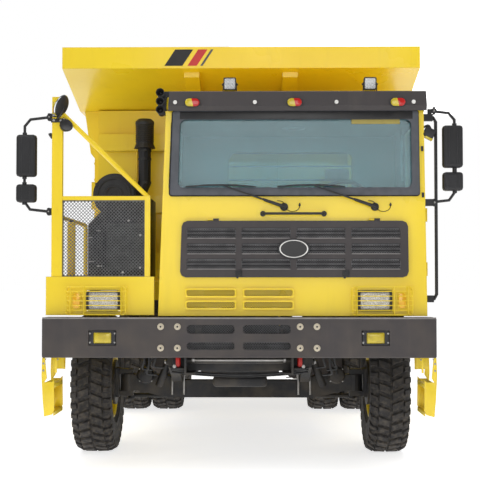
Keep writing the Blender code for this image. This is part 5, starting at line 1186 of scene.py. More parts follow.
# Yellow flask and bracket stand between the mast and the cooling pack
stand = bmesh.new()
standX = -1.500
join(stand, rodShape((standX, mastY + 0.17, packLow.z + 0.002), (standX, mastY + 0.17, 2.20), 0.037,
    sides=20, edge=0.010), rodShape((standX, mastY + 0.17, 2.20), (standX, mastY + 0.17, 2.222), 0.020,
    sides=14, edge=0.004, tone=1), rodShape((standX, mastY + 0.17, packLow.z),
    (standX, mastY + 0.17, packLow.z + 0.012), 0.052, sides=20, edge=0.003))
finishPiece(stand, "standPost", [yellow, finishes["blackPlastic"]], "chassis")


# Air cleaner: ribbed end cover, clamp bands, vented rain cap
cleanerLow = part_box("air_cleaner")[0]
cleaner = bmesh.new()
drumAt = Vector((-1.287, cleanerLow.y, 2.55))
join(cleaner, turnedShape(((0.0, 0.0), (0.018, 0.0), (0.018, 0.030), (0.012, 0.036), (0.012, 0.070),
    (0.020, 0.076), (0.020, 0.090), (0.012, 0.096), (0.010, 0.150), (0.017, 0.156), (0.017, 0.170),
    (0.006, 0.178), (0.0, 0.206)), drumAt + Vector((0, 0.001, 0)), (0, -1, 0), steps=48))
for y in (0.045, 0.26, 0.47):
    join(cleaner, turnedShape(((-0.014, 0.2095), (-0.014, 0.214), (-0.010, 0.217), (0.010, 0.217),
        (0.014, 0.214), (0.014, 0.2095)), drumAt + Vector((0, y, 0)), (0, 1, 0), steps=48, closed=True,
        tone=1))
    join(cleaner, boltShape(drumAt + Vector((0.14, y, 0.165)), (0.65, 0, 0.75), 0.008, 0.026, tone=1))
for angle in (30, 150, 270):
    at = drumAt + Vector((0.205 * math.cos(math.radians(angle)), 0.0,
        0.205 * math.sin(math.radians(angle))))
    join(cleaner, blockShape(at - Vector((0.012, 0.014, 0.016)), at + Vector((0.012, 0.050, 0.016)), 0.003,
        tone=1))
snorkelAt = Vector((-0.99, -2.64, 3.03))
for z in (2.68, 2.92, 3.01):
    join(cleaner, turnedShape(((-0.011, 0.0650), (-0.011, 0.0685), (0.011, 0.0685), (0.011, 0.0650)),
        (snorkelAt.x, snorkelAt.y, z), (0, 0, 1), steps=28, closed=True, tone=1))
    join(cleaner, boltShape((snorkelAt.x + 0.020, snorkelAt.y - 0.066, z), (0, -1, 0), 0.0065, 0.018,
        tone=1))
# Louvres round the rain cap, under a crowned top
for k in range(9):
    z = snorkelAt.z + 0.070 + k * 0.020
    join(cleaner, turnedShape(((0.0, 0.0895), (0.0, 0.096), (0.010, 0.0905), (0.010, 0.0885)),
        (snorkelAt.x, snorkelAt.y, z), (0, 0, 1), steps=32, closed=True))
join(cleaner, turnedShape(((0.240, 0.0935), (0.258, 0.097), (0.276, 0.093), (0.296, 0.074), (0.304, 0.040),
    (0.306, 0.0), (0.240, 0.0)), snorkelAt, (0, 0, 1), steps=36),
    blockShape((-1.16, -2.505, 2.30), (-1.04, -2.475, 2.60), 0.004))
finishPiece(cleaner, "airCleanerDetail", [finishes["blackPlastic"], finishes["zincDark"]], "chassis")


# Mirror heads: glass let into a rubber-edged back face, ball clamps on the arms
mirrorLook = {"left": ((2.667, 3.038), (2.464, 2.628), (3.169, 2.362)),
    "right": ((2.593, 2.964), (2.366, 2.526), (3.12, 2.285)), "x": (1.785, 1.96), "back": 0.055}
for name, side in bothSides:
    mirrorY = middleOf("mirrors_" + name).y
    big, small, clamps = mirrorLook[name]
    heads = bmesh.new()
    xLow, xHigh = mirrorLook["x"]
    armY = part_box("mirrors_" + name)[1].y - mirrorLook["back"]
    for low, high in (big, small):
        backFace = armY + mirrorLook["back"]
        join(heads, frameShape(roundedOutline((xLow + 0.006, low + 0.006), (xHigh - 0.006, high - 0.006),
            0.026), roundedOutline((xLow + 0.016, low + 0.016), (xHigh - 0.016, high - 0.016), 0.020),
            backFace - 0.004, backFace + 0.006, 0.002))
        join(heads, plateShape(roundedOutline((xLow + 0.014, low + 0.014), (xHigh - 0.014, high - 0.014),
            0.020), backFace - 0.002, backFace + 0.002, tone=1))
        # Moulded ribs run down the front of each head
        for share in (0.3, 0.7):
            x = xLow + (xHigh - xLow) * share
            join(heads, blockShape((x - 0.003, armY - 0.0475, low + 0.03),
                (x + 0.003, armY - 0.042, high - 0.03), 0.0012))
        stemX = 1.89
        for z in (low - 0.008, high + 0.008):
            join(heads, rodShape((stemX, armY, z - 0.012), (stemX, armY, z + 0.012), 0.020, sides=16,
                edge=0.003))
    for z in clamps:
        x = 1.712 if side > 0 else 1.672
        join(heads, rodShape((x - 0.022, armY, z), (x + 0.022, armY, z), 0.0205, sides=14, edge=0.003),
            boltShape((x, armY - 0.016, z), (0, -1, 0), 0.007, 0.012, tone=2),
            blockShape((x - 0.010, armY - 0.016, z - 0.034), (x + 0.010, armY + 0.016, z + 0.034), 0.004))
    if side < 0:
        bmesh.ops.scale(heads, vec=(-1, 1, 1), verts=heads.verts)
        bmesh.ops.reverse_faces(heads, faces=heads.faces)
    finishPiece(heads, "mirrorHeads." + name, [finishes["blackPlastic"], finishes["mirrorGlass"],
        finishes["zinc"]], "chassis")
# Kerb mirror and lamp at the cab's upper left corner
kerb = bmesh.new()
join(kerb, hoseShape([(1.612, cabFace + 0.05, 3.02), (1.665, cabFace + 0.05, 3.045),
    (1.690, cabFace + 0.05, 2.99)], 0.010, corner=0.02),
    moved(blockShape((-0.050, -0.030, -0.046), (0.050, 0.030, 0.046), 0.020, segments=3),
    Matrix.Translation((1.668, cabFace + 0.045, 2.972)) @ Matrix.Rotation(math.radians(28), 4, "Y")),
    moved(blockShape((-0.036, -0.026, -0.012), (0.036, 0.026, 0.012), 0.006, tone=1),
    Matrix.Translation((1.662, cabFace + 0.045, 2.926)) @ Matrix.Rotation(math.radians(28), 4, "Y")))
for z in (2.425, 2.83):
    join(kerb, blockShape((leaned(1.607, z), cabFace - 0.004, z - 0.022),
        (leaned(1.629, z), cabFace + 0.006, z + 0.022), 0.003))
finishPiece(kerb, "kerbMirror", [finishes["blackPlastic"], finishes["yellowLens"]], "chassis")
print("platform and mirrors fitted")


# Canopy: weld beads, edge lip and the painted stripes. Everything here rides on the bed.
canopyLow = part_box("bed_canopy")[0]
stripeLook = {"z": (3.775, 3.935), "black": (-0.745, -0.570, 0.105), "red": (-0.520, -0.430, 0.105),
    "dark": (-0.395, -0.372, 0.105)}
stripes = bmesh.new()
for tone, key in enumerate(("black", "red", "dark")):
    left, right, shear = stripeLook[key]
    zLow, zHigh = stripeLook["z"]
    join(stripes, plateShape([(left, zLow), (right, zLow), (right + shear, zHigh), (left + shear, zHigh)],
        canopyLow.y - 0.0022, canopyLow.y + 0.002, tone=tone))
finishPiece(stripes, "canopyStripes", [finishes["blackFilm"], finishes["redPaint"], finishes["greyTrim"]],
    "bed")




# Weld beads and gussets on the bed's front wall, edge caps and lugs
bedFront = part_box("bed_front")
welds = bmesh.new()
for z in (1.80, 1.98, 2.40, 2.58, 3.06, 3.24):
    join(welds, hoseShape([(-1.52, -2.102, z), (1.52, -2.102, z)], 0.0075, level=1))
for x in (-1.12, -0.38, 0.38, 1.12):
    join(welds, blockShape((x - 0.006, -2.165, 2.58), (x + 0.006, -2.098, 3.06), 0.002),
        blockShape((x - 0.006, -2.165, 1.98), (x + 0.006, -2.098, 2.40), 0.002))
for side in (-1, 1):
    join(welds, hoseShape([(side * 1.660, canopyLow.y + 0.004, 3.752),
        (side * 1.660, canopyLow.y + 0.004, 3.955)], 0.006, level=1))
    join(welds, blockShape((side * 1.56 - 0.06, -2.012, 3.505), (side * 1.56 + 0.06, -1.962, 3.60), 0.004))
finishPiece(welds, "bedWelds", thinYellow, "bed")

# Lip edge of the canopy: a rolled bar along its top, with drain notches below
canopyTrim = bmesh.new()
join(canopyTrim, hoseShape([(-1.742, canopyLow.y + 0.012, 3.953), (1.742, canopyLow.y + 0.012, 3.953)],
    0.0085, level=2), hoseShape([(-1.700, canopyLow.y + 0.010, 3.756), (1.700, canopyLow.y + 0.010, 3.756)],
    0.0075, level=2))
for x in (-1.30, -0.90, 0.90, 1.30):
    join(canopyTrim, plateShape([(x - 0.005, 3.79), (x + 0.005, 3.79), (x + 0.005, 3.955),
        (x - 0.005, 3.955)], canopyLow.y + 0.078, canopyLow.y + 0.30))
finishPiece(canopyTrim, "canopyTrim", thinYellow, "bed")

# Bed sides: stiffener caps with drilled ends, rub rail bolts, side reflectors, tail edge bar
sideFit = bmesh.new()
for side in (-1, 1):
    spacing = (4.4 - 0.75 + 2.04) / 7
    for k in range(6):
        y = -2.04 + 0.35 + spacing * k
        join(sideFit, blockShape((side * 1.6365 - 0.003, y + 0.018, 1.86),
            (side * 1.6365 + 0.003, y + 0.102, 2.43), 0.002),
            blockShape((side * 1.6365 - 0.003, y + 0.018, 2.76), (side * 1.6365 + 0.003, y + 0.102, 3.02),
            0.002))
        for z in (1.90, 2.39, 2.80, 2.98):
            join(sideFit, boltShape((side * 1.6385, y + 0.06, z), (side, 0, 0), 0.012, 0.012, tone=1))
    for k in range(5):
        y = -1.35 + 1.2 * k
        join(sideFit, blockShape((side * 1.6215 - 0.002, y, 2.575),
            (side * 1.6215 + 0.002, y + 0.14, 2.625), 0.002, tone=2 if side > 0 else 3))
    join(sideFit, hoseShape([(side * 1.525, 4.395, 2.27), (side * 1.525, 4.395, 2.88)], 0.014, level=2))
finishPiece(sideFit, "bedSideFittings", [yellow, yellow, finishes["amberLens"], finishes["amberLens"]],
    "bed")

# Wear plates inside the bed
wear = bmesh.new()
for k in range(5):
    join(wear, blockShape((-1.16 + 0.47 * k - 0.012, -1.95, 1.5105),
        (-1.16 + 0.47 * k + 0.395, 3.04, 1.5165), 0.002))
finishPiece(wear, "bedWearPlates", finishes["scouredSteel"], "bed")
print("bed fitted")


# Cab sides and rear: window seals, door handle, hinges, gutter, steps and rear grab rails
windowLook = {"y": (-4.055, -3.285), "z": (2.35, 3.08), "grow": 0.022}
turnSide = Matrix.Rotation(math.pi / 2, 4, "Z")
for name, side, body in (("left", 1, "door_left"), ("right", -1, "chassis")):
    face = 1.641 if side > 0 else -0.707
    sealRing = bmesh.new()
    (yLow, yHigh), (zLow, zHigh), grow = windowLook["y"], windowLook["z"], windowLook["grow"]
    ring = frameShape(roundedOutline((yLow - grow, zLow - grow), (yHigh + grow, zHigh + grow), 0.062),
        roundedOutline((yLow + 0.010, zLow + 0.010), (yHigh - 0.010, zHigh - 0.010), 0.045), -0.006, 0.010,
        0.003)
    # The ring is made across Y, then turned to stand across X and leaned with the wall
    moved(ring, turnSide)
    for vert in ring.verts:
        x, y, z = vert.co
        vert.co = (leaned(face, z) + side * abs(x + 0.002) * (1 if x > 0 else 0.5), y, z)
    bmesh.ops.recalc_face_normals(ring, faces=ring.faces)
    join(sealRing, ring)
    finishPiece(sealRing, "windowSeal." + name, softRubber, body)

door = bmesh.new()
z, y = 1.98, -3.300
x = leaned(1.641, z)
join(door, blockShape((x - 0.002, y - 0.062, z - 0.036), (x + 0.010, y + 0.062, z + 0.036), 0.008, tone=0),
    blockShape((x + 0.012, y - 0.050, z + 0.004), (x + 0.030, y + 0.042, z + 0.024), 0.007, tone=0),
    rodShape((x + 0.006, y + 0.042, z - 0.012), (x + 0.016, y + 0.042, z - 0.012), 0.010, sides=16,
    edge=0.002, tone=1))
for low in (1.78, 2.26):
    at = leaned(1.641, low)
    join(door, blockShape((at - 0.002, -4.135, low + 0.004), (at + 0.008, -4.02, low + 0.056), 0.003,
        tone=2))
    for step in (0.0, 0.045):
        join(door, boltShape((at + 0.007, -4.095 + step, low + 0.030), (1, 0, 0), 0.0075, 0.008, tone=1))
# Pressed lines along the door
for z in (1.56, 2.24):
    at = leaned(1.641, z)
    join(door, blockShape((at - 0.003, -4.09, z - 0.006), (at + 0.004, -3.25, z + 0.006), 0.003, tone=2))
finishPiece(door, "doorFittings", [finishes["blackPlastic"], finishes["zinc"], cabYellow], "door_left")

cabTrim = bmesh.new()
for side in (-1, 1):
    x = leaned(1.641 if side > 0 else -0.707, 3.15)
    join(cabTrim, hoseShape([(x + side * 0.002, -4.26, 3.168), (x + side * 0.002, -2.52, 3.168)], 0.009,
        level=1, tone=0))
# Rear window seal and its guard bars, seen through the cab
join(cabTrim, frameShape(roundedOutline((-0.175, 2.278), (1.165, 3.022), 0.07),
    roundedOutline((-0.140, 2.312), (1.130, 2.988), 0.05), -2.504, -2.492, 0.003, tone=1))
for z in (2.44, 2.58, 2.72, 2.86):
    join(cabTrim, hoseShape([(-0.20, -2.470, z), (1.19, -2.470, z)], 0.008, level=1, tone=1))
for x in (-0.19, 1.18):
    join(cabTrim, blockShape((x - 0.012, -2.500, 2.36), (x + 0.012, -2.462, 2.94), 0.003, tone=1))
for x in (-0.45, 1.38):
    join(cabTrim, hoseShape([(x, -2.50, 1.75), (x, -2.44, 1.75), (x, -2.44, 2.75), (x, -2.50, 2.75)], 0.012,
        corner=0.03, level=2, tone=1))
# Roof ribs and a beacon on its base
for k in range(5):
    x = -0.42 + 0.44 * k
    join(cabTrim, blockShape((x - 0.05, -4.05, 3.295), (x + 0.05, -2.62, 3.308), 0.006, tone=0))
join(cabTrim, turnedShape(((0.0, 0.0), (0.0, 0.062), (0.014, 0.064), (0.020, 0.056), (0.020, 0.0)),
    (1.30, -2.78, 3.300), (0, 0, 1), steps=24, tone=1),
    turnedShape(((0.0, 0.0), (0.0, 0.052), (0.070, 0.048), (0.098, 0.030), (0.106, 0.0)),
    (1.30, -2.78, 3.318), (0, 0, 1), steps=24, tone=2))
finishPiece(cabTrim, "cabTrim", [cabYellow, finishes["blackPlastic"], finishes["amberLens"]], "chassis")

# Checker treads on the steps, platform deck and bumper ends
treads = bmesh.new()


def checkerPad(low, high, z, tone=0):
    columns, rows = int((high[0] - low[0]) / 0.042), int((high[1] - low[1]) / 0.042)
    for column in range(columns):
        for row in range(rows):
            x, y = low[0] + 0.042 * (column + 0.5), low[1] + 0.042 * (row + 0.5)
            turn = math.radians(45 if (column + row) % 2 else -45)
            stud = bmesh.new()
            bmesh.ops.create_cube(stud, size=1.0)
            bmesh.ops.scale(stud, vec=(0.030, 0.009, 0.003), verts=stud.verts)
            bmesh.ops.scale(stud, vec=(0.7, 0.5, 1.0), verts=[v for v in stud.verts if v.co.z > 0])
            join(treads, tinted(moved(stud, Matrix.Translation((x, y, z + 0.0012)) @ Matrix.Rotation(turn,
                4, "Z")), tone))


for side in (-1, 1):
    for z in (0.555, 0.795):
        xLow, xHigh = sorted((side * 1.60, side * 1.68))
        checkerPad((xLow, -4.355), (xHigh, -3.93), z)
checkerPad((-1.64, -3.46), (-0.78, -2.82), 1.714)
checkerPad((-1.60, -4.36), (-0.76, -4.305), bumperHigh.z, 1)
checkerPad((0.76, -4.36), (1.60, -4.305), bumperHigh.z, 1)
finishPiece(treads, "checkerTreads", [thinYellow, darkGrey], "chassis")
print("cab sides and treads made")


# Below the bumper: leaf packs, shock absorbers, brake chambers, lines and the polished cross rod
under = bmesh.new()
join(under, rodShape((-0.40, -4.262, 0.985), (0.40, -4.262, 0.985), 0.0125, sides=16, edge=0.002, tone=1))
for x in (-0.40, 0.40):
    join(under, rodShape((x - 0.012, -4.262, 0.985), (x + 0.012, -4.262, 0.985), 0.021, sides=6, edge=0.003,
        tone=1))
for side in (-1, 1):
    x = side * 0.62
    for k in range(5):
        reach = 0.66 - 0.11 * k
        join(under, blockShape((x - 0.046, -2.9 - reach, 0.905 - 0.021 * k - 0.018),
            (x + 0.046, -2.9 + reach, 0.905 - 0.021 * k), 0.003))
    for y in (-3.60, -2.20):
        join(under, rodShape((x - 0.07, y, 0.925), (x + 0.07, y, 0.925), 0.030, sides=18, edge=0.004),
            boltShape((x + side * 0.068, y, 0.925), (side, 0, 0), 0.018, 0.018, tone=1))
    for y in (-2.99, -2.81):
        join(under, hoseShape([(x - 0.058, y, 0.56), (x - 0.058, y, 0.935), (x + 0.058, y, 0.935),
            (x + 0.058, y, 0.56)], 0.011, corner=0.03, level=2, tone=1))
    # Hydraulic damper from the rail to the axle
    join(under, rodShape((side * 0.80, -3.12, 0.66), (side * 0.70, -3.20, 0.90), 0.036, sides=18,
        edge=0.004), rodShape((side * 0.70, -3.20, 0.90), (side * 0.645, -3.245, 1.06), 0.020, sides=14,
        edge=0.002, tone=1))
    # Brake chamber ahead of the beam, with its hose
    join(under, turnedShape(((0.0, 0.0), (0.0, 0.050), (0.030, 0.078), (0.044, 0.082), (0.050, 0.088),
        (0.060, 0.088), (0.064, 0.080), (0.096, 0.070), (0.108, 0.030), (0.108, 0.0)),
        (side * 0.93, -3.03, 0.76), (0, -1, 0), steps=28),
        hoseShape([(side * 0.93, -3.138, 0.78), (side * 0.93, -3.19, 0.80), (side * 0.86, -3.23, 0.93),
        (side * 0.74, -3.22, 1.02), (side * 0.50, -3.22, 1.04)], 0.011, corner=0.06, level=2, tone=2))
    for angle in (45, 135, 225, 315):
        at = (side * 0.93 + 0.080 * math.cos(math.radians(angle)), -3.088,
            0.76 + 0.080 * math.sin(math.radians(angle)))
        join(under, boltShape(at, (0, -1, 0), 0.007, 0.012, tone=1))
    # Tow pin bracket and grease lines beside it
    join(under, blockShape((side * 0.53 - 0.055, -4.345, 0.900), (side * 0.53 + 0.055, -4.215, 0.922),
        0.004), blockShape((side * 0.53 - 0.055, -4.225, 0.900), (side * 0.53 + 0.055, -4.205, 1.01),
        0.004), boltShape((side * 0.56, -4.345, 0.935), (0, -1, 0), 0.011, 0.012, tone=1))
    for x, z in ((0.74, 0.965), (0.84, 0.945), (0.80, 0.900)):
        join(under, hoseShape([(side * x, -4.14, 1.06), (side * x, -4.13, z + 0.02),
            (side * (x + 0.03), -4.10, z - 0.05), (side * (x - 0.05), -3.95, z - 0.07)], 0.009, corner=0.04,
            level=2, tone=2), rodShape((side * x, -4.141, 1.02), (side * x, -4.139, 1.055), 0.014, sides=6,
            edge=0.002, tone=1))
# Lines sagging across under the bumper, held by clips
for y, z, sag in ((-4.06, 0.905, 0.030), (-3.98, 0.880, 0.045), (-3.86, 0.850, 0.040)):
    line = [(-0.62 + 1.24 * k / 12, y, z - sag * (1 - (2 * k / 12 - 1) ** 2)) for k in range(13)]
    join(under, hoseShape(line, 0.0095, level=2, tone=2))
for x in (-0.33, -0.06, 0.22, 0.40):
    join(under, boltShape((x, -3.662, 0.862), (0, -1, 0), 0.010, 0.018, tone=1),
        boltShape((x + 0.035, -3.662, 0.862), (0, -1, 0), 0.007, 0.014, tone=1))
# Sump and belly plate of the engine, fan belt pulleys
join(under, blockShape((-0.25, -3.72, 0.70), (0.25, -2.75, 0.80), 0.03, segments=3),
    turnedShape(((0.0, 0.0), (0.0, 0.13), (0.012, 0.13), (0.018, 0.112), (0.024, 0.13), (0.036, 0.13),
    (0.040, 0.05), (0.060, 0.045), (0.060, 0.0)), (0.0, -3.752, 0.94), (0, -1, 0), steps=36),
    rodShape((0.0, -3.81, 0.94), (0.0, -3.83, 0.94), 0.028, sides=6, edge=0.003, tone=1))
finishPiece(under, "underFront", [blackSteel, finishes["zinc"], finishes["hoseRubber"]], "chassis")

# Straps, caps, steps and gauge on the tanks; battery cover latches; mud flaps; tail lamp bar
chassisFit = bmesh.new()
for low, high, side in ((-1.70, -0.22, 1), (-0.84, -0.18, -1)):
    for share in (0.08, 0.92):
        y = low + (high - low) * share
        outline = [(side * 0.478, 1.166), (side * 1.00, 1.166), (side * 1.058, 1.145), (side * 1.081, 1.08),
            (side * 1.081, 0.70), (side * 1.058, 0.635), (side * 1.00, 0.614), (side * 0.478, 0.614)]
        for first, second in zip(outline, outline[1:]):
            join(chassisFit, blockShape((-0.003, -0.024, 0.0),
                (0.003, 0.024, (Vector(second) - Vector(first)).length + 0.002)))
            # Laid along its edge of the tank
            strap = Vector((second[0] - first[0], 0, second[1] - first[1]))
            chassisFit.verts.ensure_lookup_table()
            fresh = chassisFit.verts[-8:]
            angle = math.atan2(strap.x, strap.z)
            bmesh.ops.rotate(chassisFit, cent=(0, 0, 0), matrix=Matrix.Rotation(angle, 3, "Y"), verts=fresh)
            bmesh.ops.translate(chassisFit, vec=(first[0], y, first[1]), verts=fresh)
    capY = -1.49 if side > 0 else -0.485
    join(chassisFit, turnedShape(((0.0, 0.0), (0.0, 0.056), (0.006, 0.060), (0.020, 0.060), (0.026, 0.052),
        (0.030, 0.0)), (side * 0.935, capY, 1.205), (0, 0, 1), steps=24, tone=1),
        blockShape((side * 0.935 - 0.008, capY - 0.045, 1.232), (side * 0.935 + 0.008, capY + 0.045, 1.244),
        0.003, tone=1))
join(chassisFit, blockShape((-0.998, -1.80, 1.00), (-0.990, -1.26, 1.02), 0.003),
    blockShape((-1.001, -1.74, 1.10), (-0.985, -1.70, 1.168), 0.004, tone=1),
    blockShape((-1.001, -1.36, 1.10), (-0.985, -1.32, 1.168), 0.004, tone=1))
for side in (-1, 1):
    # Flaps hang behind the front wheels and behind the twins
    for y, inner, outer, top in ((-2.10, 1.24, 1.60, 1.18), (3.22, 0.86, 1.60, 1.14)):
        low, high = sorted((side * inner, side * outer))
        flap = blockShape((low, y, 0.36), (high, y + 0.010, top), 0.002, tone=2)
        join(chassisFit, flap, blockShape((low, y - 0.010, top - 0.045), (high, y + 0.020, top), 0.003))
        join(chassisFit, rodShape((side * 0.44, y + 0.005, top - 0.022),
            (side * inner, y + 0.005, top - 0.022), 0.020, sides=12))
        for k in range(4):
            x = low + (high - low) * (k + 0.5) / 4
            join(chassisFit, boltShape((x, y + 0.020, top - 0.022), (0, 1, 0), 0.009, 0.010, tone=1),
                blockShape((x - 0.012, y + 0.009, 0.44), (x + 0.012, y + 0.014, top - 0.10), 0.002, tone=2))
    # Tail lamps on a bar across the chassis end
    for k, (offset, tone) in enumerate(((0.0, 3), (0.115, 4), (0.230, 5))):
        x = side * (0.62 + offset)
        join(chassisFit, rodShape((x, 3.385, 1.02), (x, 3.430, 1.02), 0.052, sides=28, edge=0.004),
            turnedShape(((0.0, 0.0), (0.0, 0.045), (0.010, 0.043), (0.018, 0.030), (0.021, 0.0)),
            (x, 3.427, 1.02), (0, 1, 0), steps=24, tone=tone))
join(chassisFit, blockShape((-0.96, 3.345, 0.955), (0.96, 3.390, 1.085), 0.006))
# Air tanks between the rails, with end welds and drain cocks
for x in (-0.20, 0.20):
    join(chassisFit, turnedShape(((0.0, 0.0), (0.006, 0.050), (0.030, 0.090), (0.060, 0.105), (0.62, 0.105),
        (0.65, 0.090), (0.674, 0.050), (0.68, 0.0)), (x, -1.30, 0.74), (0, 1, 0), steps=28),
        turnedShape(((0.0, 0.1055), (0.0, 0.110), (0.03, 0.110), (0.03, 0.1055)), (x, -1.15, 0.74),
        (0, 1, 0), steps=28, closed=True, tone=1), turnedShape(((0.0, 0.1055), (0.0, 0.110), (0.03, 0.110),
        (0.03, 0.1055)), (x, -0.83, 0.74), (0, 1, 0), steps=28, closed=True, tone=1),
        blockShape((x - 0.02, -1.145, 0.83), (x + 0.02, -1.125, 0.90), 0.002),
        blockShape((x - 0.02, -0.825, 0.83), (x + 0.02, -0.805, 0.90), 0.002))
# Cross bars carrying the air tanks, from rail to rail
for y in (-1.145, -0.825):
    join(chassisFit, blockShape((-0.386, y - 0.012, 0.895), (0.386, y + 0.032, 0.925), 0.004))
finishPiece(chassisFit, "chassisFittings", [blackSteel, finishes["zinc"], finishes["hoseRubber"],
    finishes["redLens"], finishes["amberLens"], finishes["whitePaint"]], "chassis")
print("underside fitted")


# Seats: each pad swells from a slightly small block, then gets its sewn channels
seatLook = {"places": (("driver", 0.95, True), ("passenger", -0.16, False)), "y": -3.12, "base": 1.96,
    "backTop": 2.62, "voxel": 0.016, "pressure": 4.0, "frames": 20, "limit": 0.020}


def puffed(name, low, high, limit):
    shape = blockShape(low, high, 0.028, segments=3)
    data = bpy.data.meshes.new(name)
    shape.to_mesh(data)
    shape.free()
    pad = bpy.data.objects.new(name, data)
    scene.collection.objects.link(pad)
    remesh = pad.modifiers.new("remesh", "REMESH")
    remesh.mode = "VOXEL"
    remesh.voxel_size = seatLook["voxel"]
    depsgraph = bpy.context.evaluated_depsgraph_get()
    pad.data = bpy.data.meshes.new_from_object(pad.evaluated_get(depsgraph))
    pad.modifiers.clear()
    start = [vert.co.copy() for vert in pad.data.vertices]
    cloth = pad.modifiers.new("cloth", "CLOTH")
    cloth.settings.use_pressure = True
    cloth.settings.uniform_pressure_force = seatLook["pressure"]
    cloth.settings.effector_weights.gravity = 0.0
    for frameNumber in range(1, seatLook["frames"] + 1):
        scene.frame_set(frameNumber)
    swollen = bpy.data.meshes.new_from_object(pad.evaluated_get(bpy.context.evaluated_depsgraph_get()))
    pad.modifiers.clear()
    scene.frame_set(1)
    for vert, before, after in zip(pad.data.vertices, start, swollen.vertices):
        move = after.co - before
        vert.co = before + move * min(1.0, limit / max(move.length, 1e-6))
    shape = bmesh.new()
    shape.from_mesh(pad.data)
    bpy.data.objects.remove(pad)
    return shape


# Sewn channels: points near each line sink along the pad's short way
def channelled(shape, lines, axis, across, depth):
    for vert in shape.verts:
        if abs(vert.normal[across]) > 0.55:
            near = min(abs(vert.co[axis] - line) for line in lines)
            vert.co[across] -= math.copysign(depth * math.exp(-(near / 0.011) ** 2), vert.normal[across])
    return shape


for owner, x, headrest in seatLook["places"]:
    y, base, top = seatLook["y"], seatLook["base"], seatLook["backTop"]
    pads = [("Cushion", (x - 0.225, y - 0.245, base + 0.018), (x + 0.225, y + 0.130, base + 0.108),
        (x - 0.13, x + 0.13), 0, 2), ("Back", (x - 0.215, y + 0.150, base + 0.120),
        (x + 0.215, y + 0.245, top - 0.020), (base + 0.27, base + 0.42), 2, 1)]
    if headrest:
        pads.append(("Head", (x - 0.122, y + 0.155, top + 0.050), (x + 0.122, y + 0.232, top + 0.172), (x,),
            0, 1))
    for part, low, high, lines, axis, across in pads:
        shape = puffed(owner + part, low, high, seatLook["limit"])
        shape.normal_update()
        channelled(shape, lines, axis, across, 0.006)
        bmesh.ops.smooth_vert(shape, verts=shape.verts, factor=0.3, use_axis_x=True, use_axis_y=True,
            use_axis_z=True)
        pad = finishPiece(shape, owner + part, finishes["seatCloth"], "chassis", 180.0)
        soften = pad.modifiers.new("subdivision", "SUBSURF")
        soften.levels = 1
        soften.render_levels = 1
        if part == "Cushion":
            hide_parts(owner + "_seat")
    seatFrame = bmesh.new()
    join(seatFrame, blockShape((x - 0.20, y - 0.22, base), (x + 0.20, y + 0.22, base + 0.014), 0.004),
        blockShape((x - 0.05, y + 0.246, base + 0.02), (x + 0.05, y + 0.262, base + 0.40), 0.005),
        blockShape((x - 0.05, y - 0.02, base + 0.004), (x + 0.05, y + 0.262, base + 0.016), 0.003))
    if headrest:
        for way in (-0.05, 0.05):
            join(seatFrame, rodShape((x + way, y + 0.195, top - 0.04), (x + way, y + 0.195, top + 0.07),
                0.006, sides=12, tone=1))
    for way in (-1, 1):
        join(seatFrame, blockShape((x + way * 0.252 - 0.012, y - 0.10, base + 0.10),
            (x + way * 0.252 + 0.012, y + 0.17, base + 0.125), 0.006),
            rodShape((x + way * 0.236, y + 0.175, base + 0.06), (x + way * 0.258, y + 0.175, base + 0.06),
            0.034, sides=20, edge=0.004))
    # Belt stalk and its red buckle beside the cushion
    join(seatFrame, rodShape((x - 0.245, y + 0.10, base + 0.02), (x - 0.255, y + 0.06, base + 0.19), 0.006,
        sides=10), blockShape((x - 0.272, y + 0.035, base + 0.17), (x - 0.238, y + 0.075, base + 0.225),
        0.006, tone=2))
    finishPiece(seatFrame, owner + "SeatFrame", [finishes["blackPlastic"], finishes["chrome"],
        finishes["redPaint"]], "chassis")
print("seats made")

# Dashboard fittings: steering wheel, gauge hood, dials, vents, switches, pedals and gear lever
cabinLook = {"wheel": (0.95, -3.74, 2.46), "ring": 0.205, "tilt": -35.0}
cabin = bmesh.new()
wheelPlace = Matrix.Translation(cabinLook["wheel"]) @ Matrix.Rotation(math.radians(cabinLook["tilt"]), 4,
    "X")
ringPath = [Vector((cabinLook["ring"] * math.cos(math.tau * k / 36),
    cabinLook["ring"] * math.sin(math.tau * k / 36), 0.0)) for k in range(37)]
join(cabin, moved(hoseShape(ringPath, 0.0185, level=3), wheelPlace),
    moved(turnedShape(((-0.045, 0.0), (-0.045, 0.045), (0.004, 0.068), (0.020, 0.060), (0.026, 0.0)),
    (0, 0, 0), (0, 0, 1), steps=32), wheelPlace))
for angle in (-25, 90, 205):
    a = math.radians(angle)
    join(cabin, moved(hoseShape([(0.05 * math.cos(a), 0.05 * math.sin(a), 0.0),
        (0.12 * math.cos(a), 0.12 * math.sin(a), -0.014), (0.200 * math.cos(a), 0.200 * math.sin(a), 0.0)],
        0.011, corner=0.04, level=2), wheelPlace))
join(cabin, blockShape((0.66, -4.02, 2.378), (1.24, -3.975, 2.452), 0.012),
    blockShape((0.64, -4.20, 2.440), (1.26, -3.965, 2.462), 0.010))
for k, (x, radius) in enumerate(((0.80, 0.040), (0.90, 0.030), (1.00, 0.030), (1.10, 0.040))):
    join(cabin, turnedShape(((0.0, 0.0), (0.0, radius), (0.006, radius), (0.009, radius * 0.9),
        (0.004, radius * 0.86), (0.004, 0.0)), (x, -3.974, 2.412), (0, 1, 0), steps=28, tone=1),
        rodShape((x - radius * 0.5, -3.966, 2.400), (x + radius * 0.3, -3.966, 2.424), 0.0016, sides=6,
        tone=2))
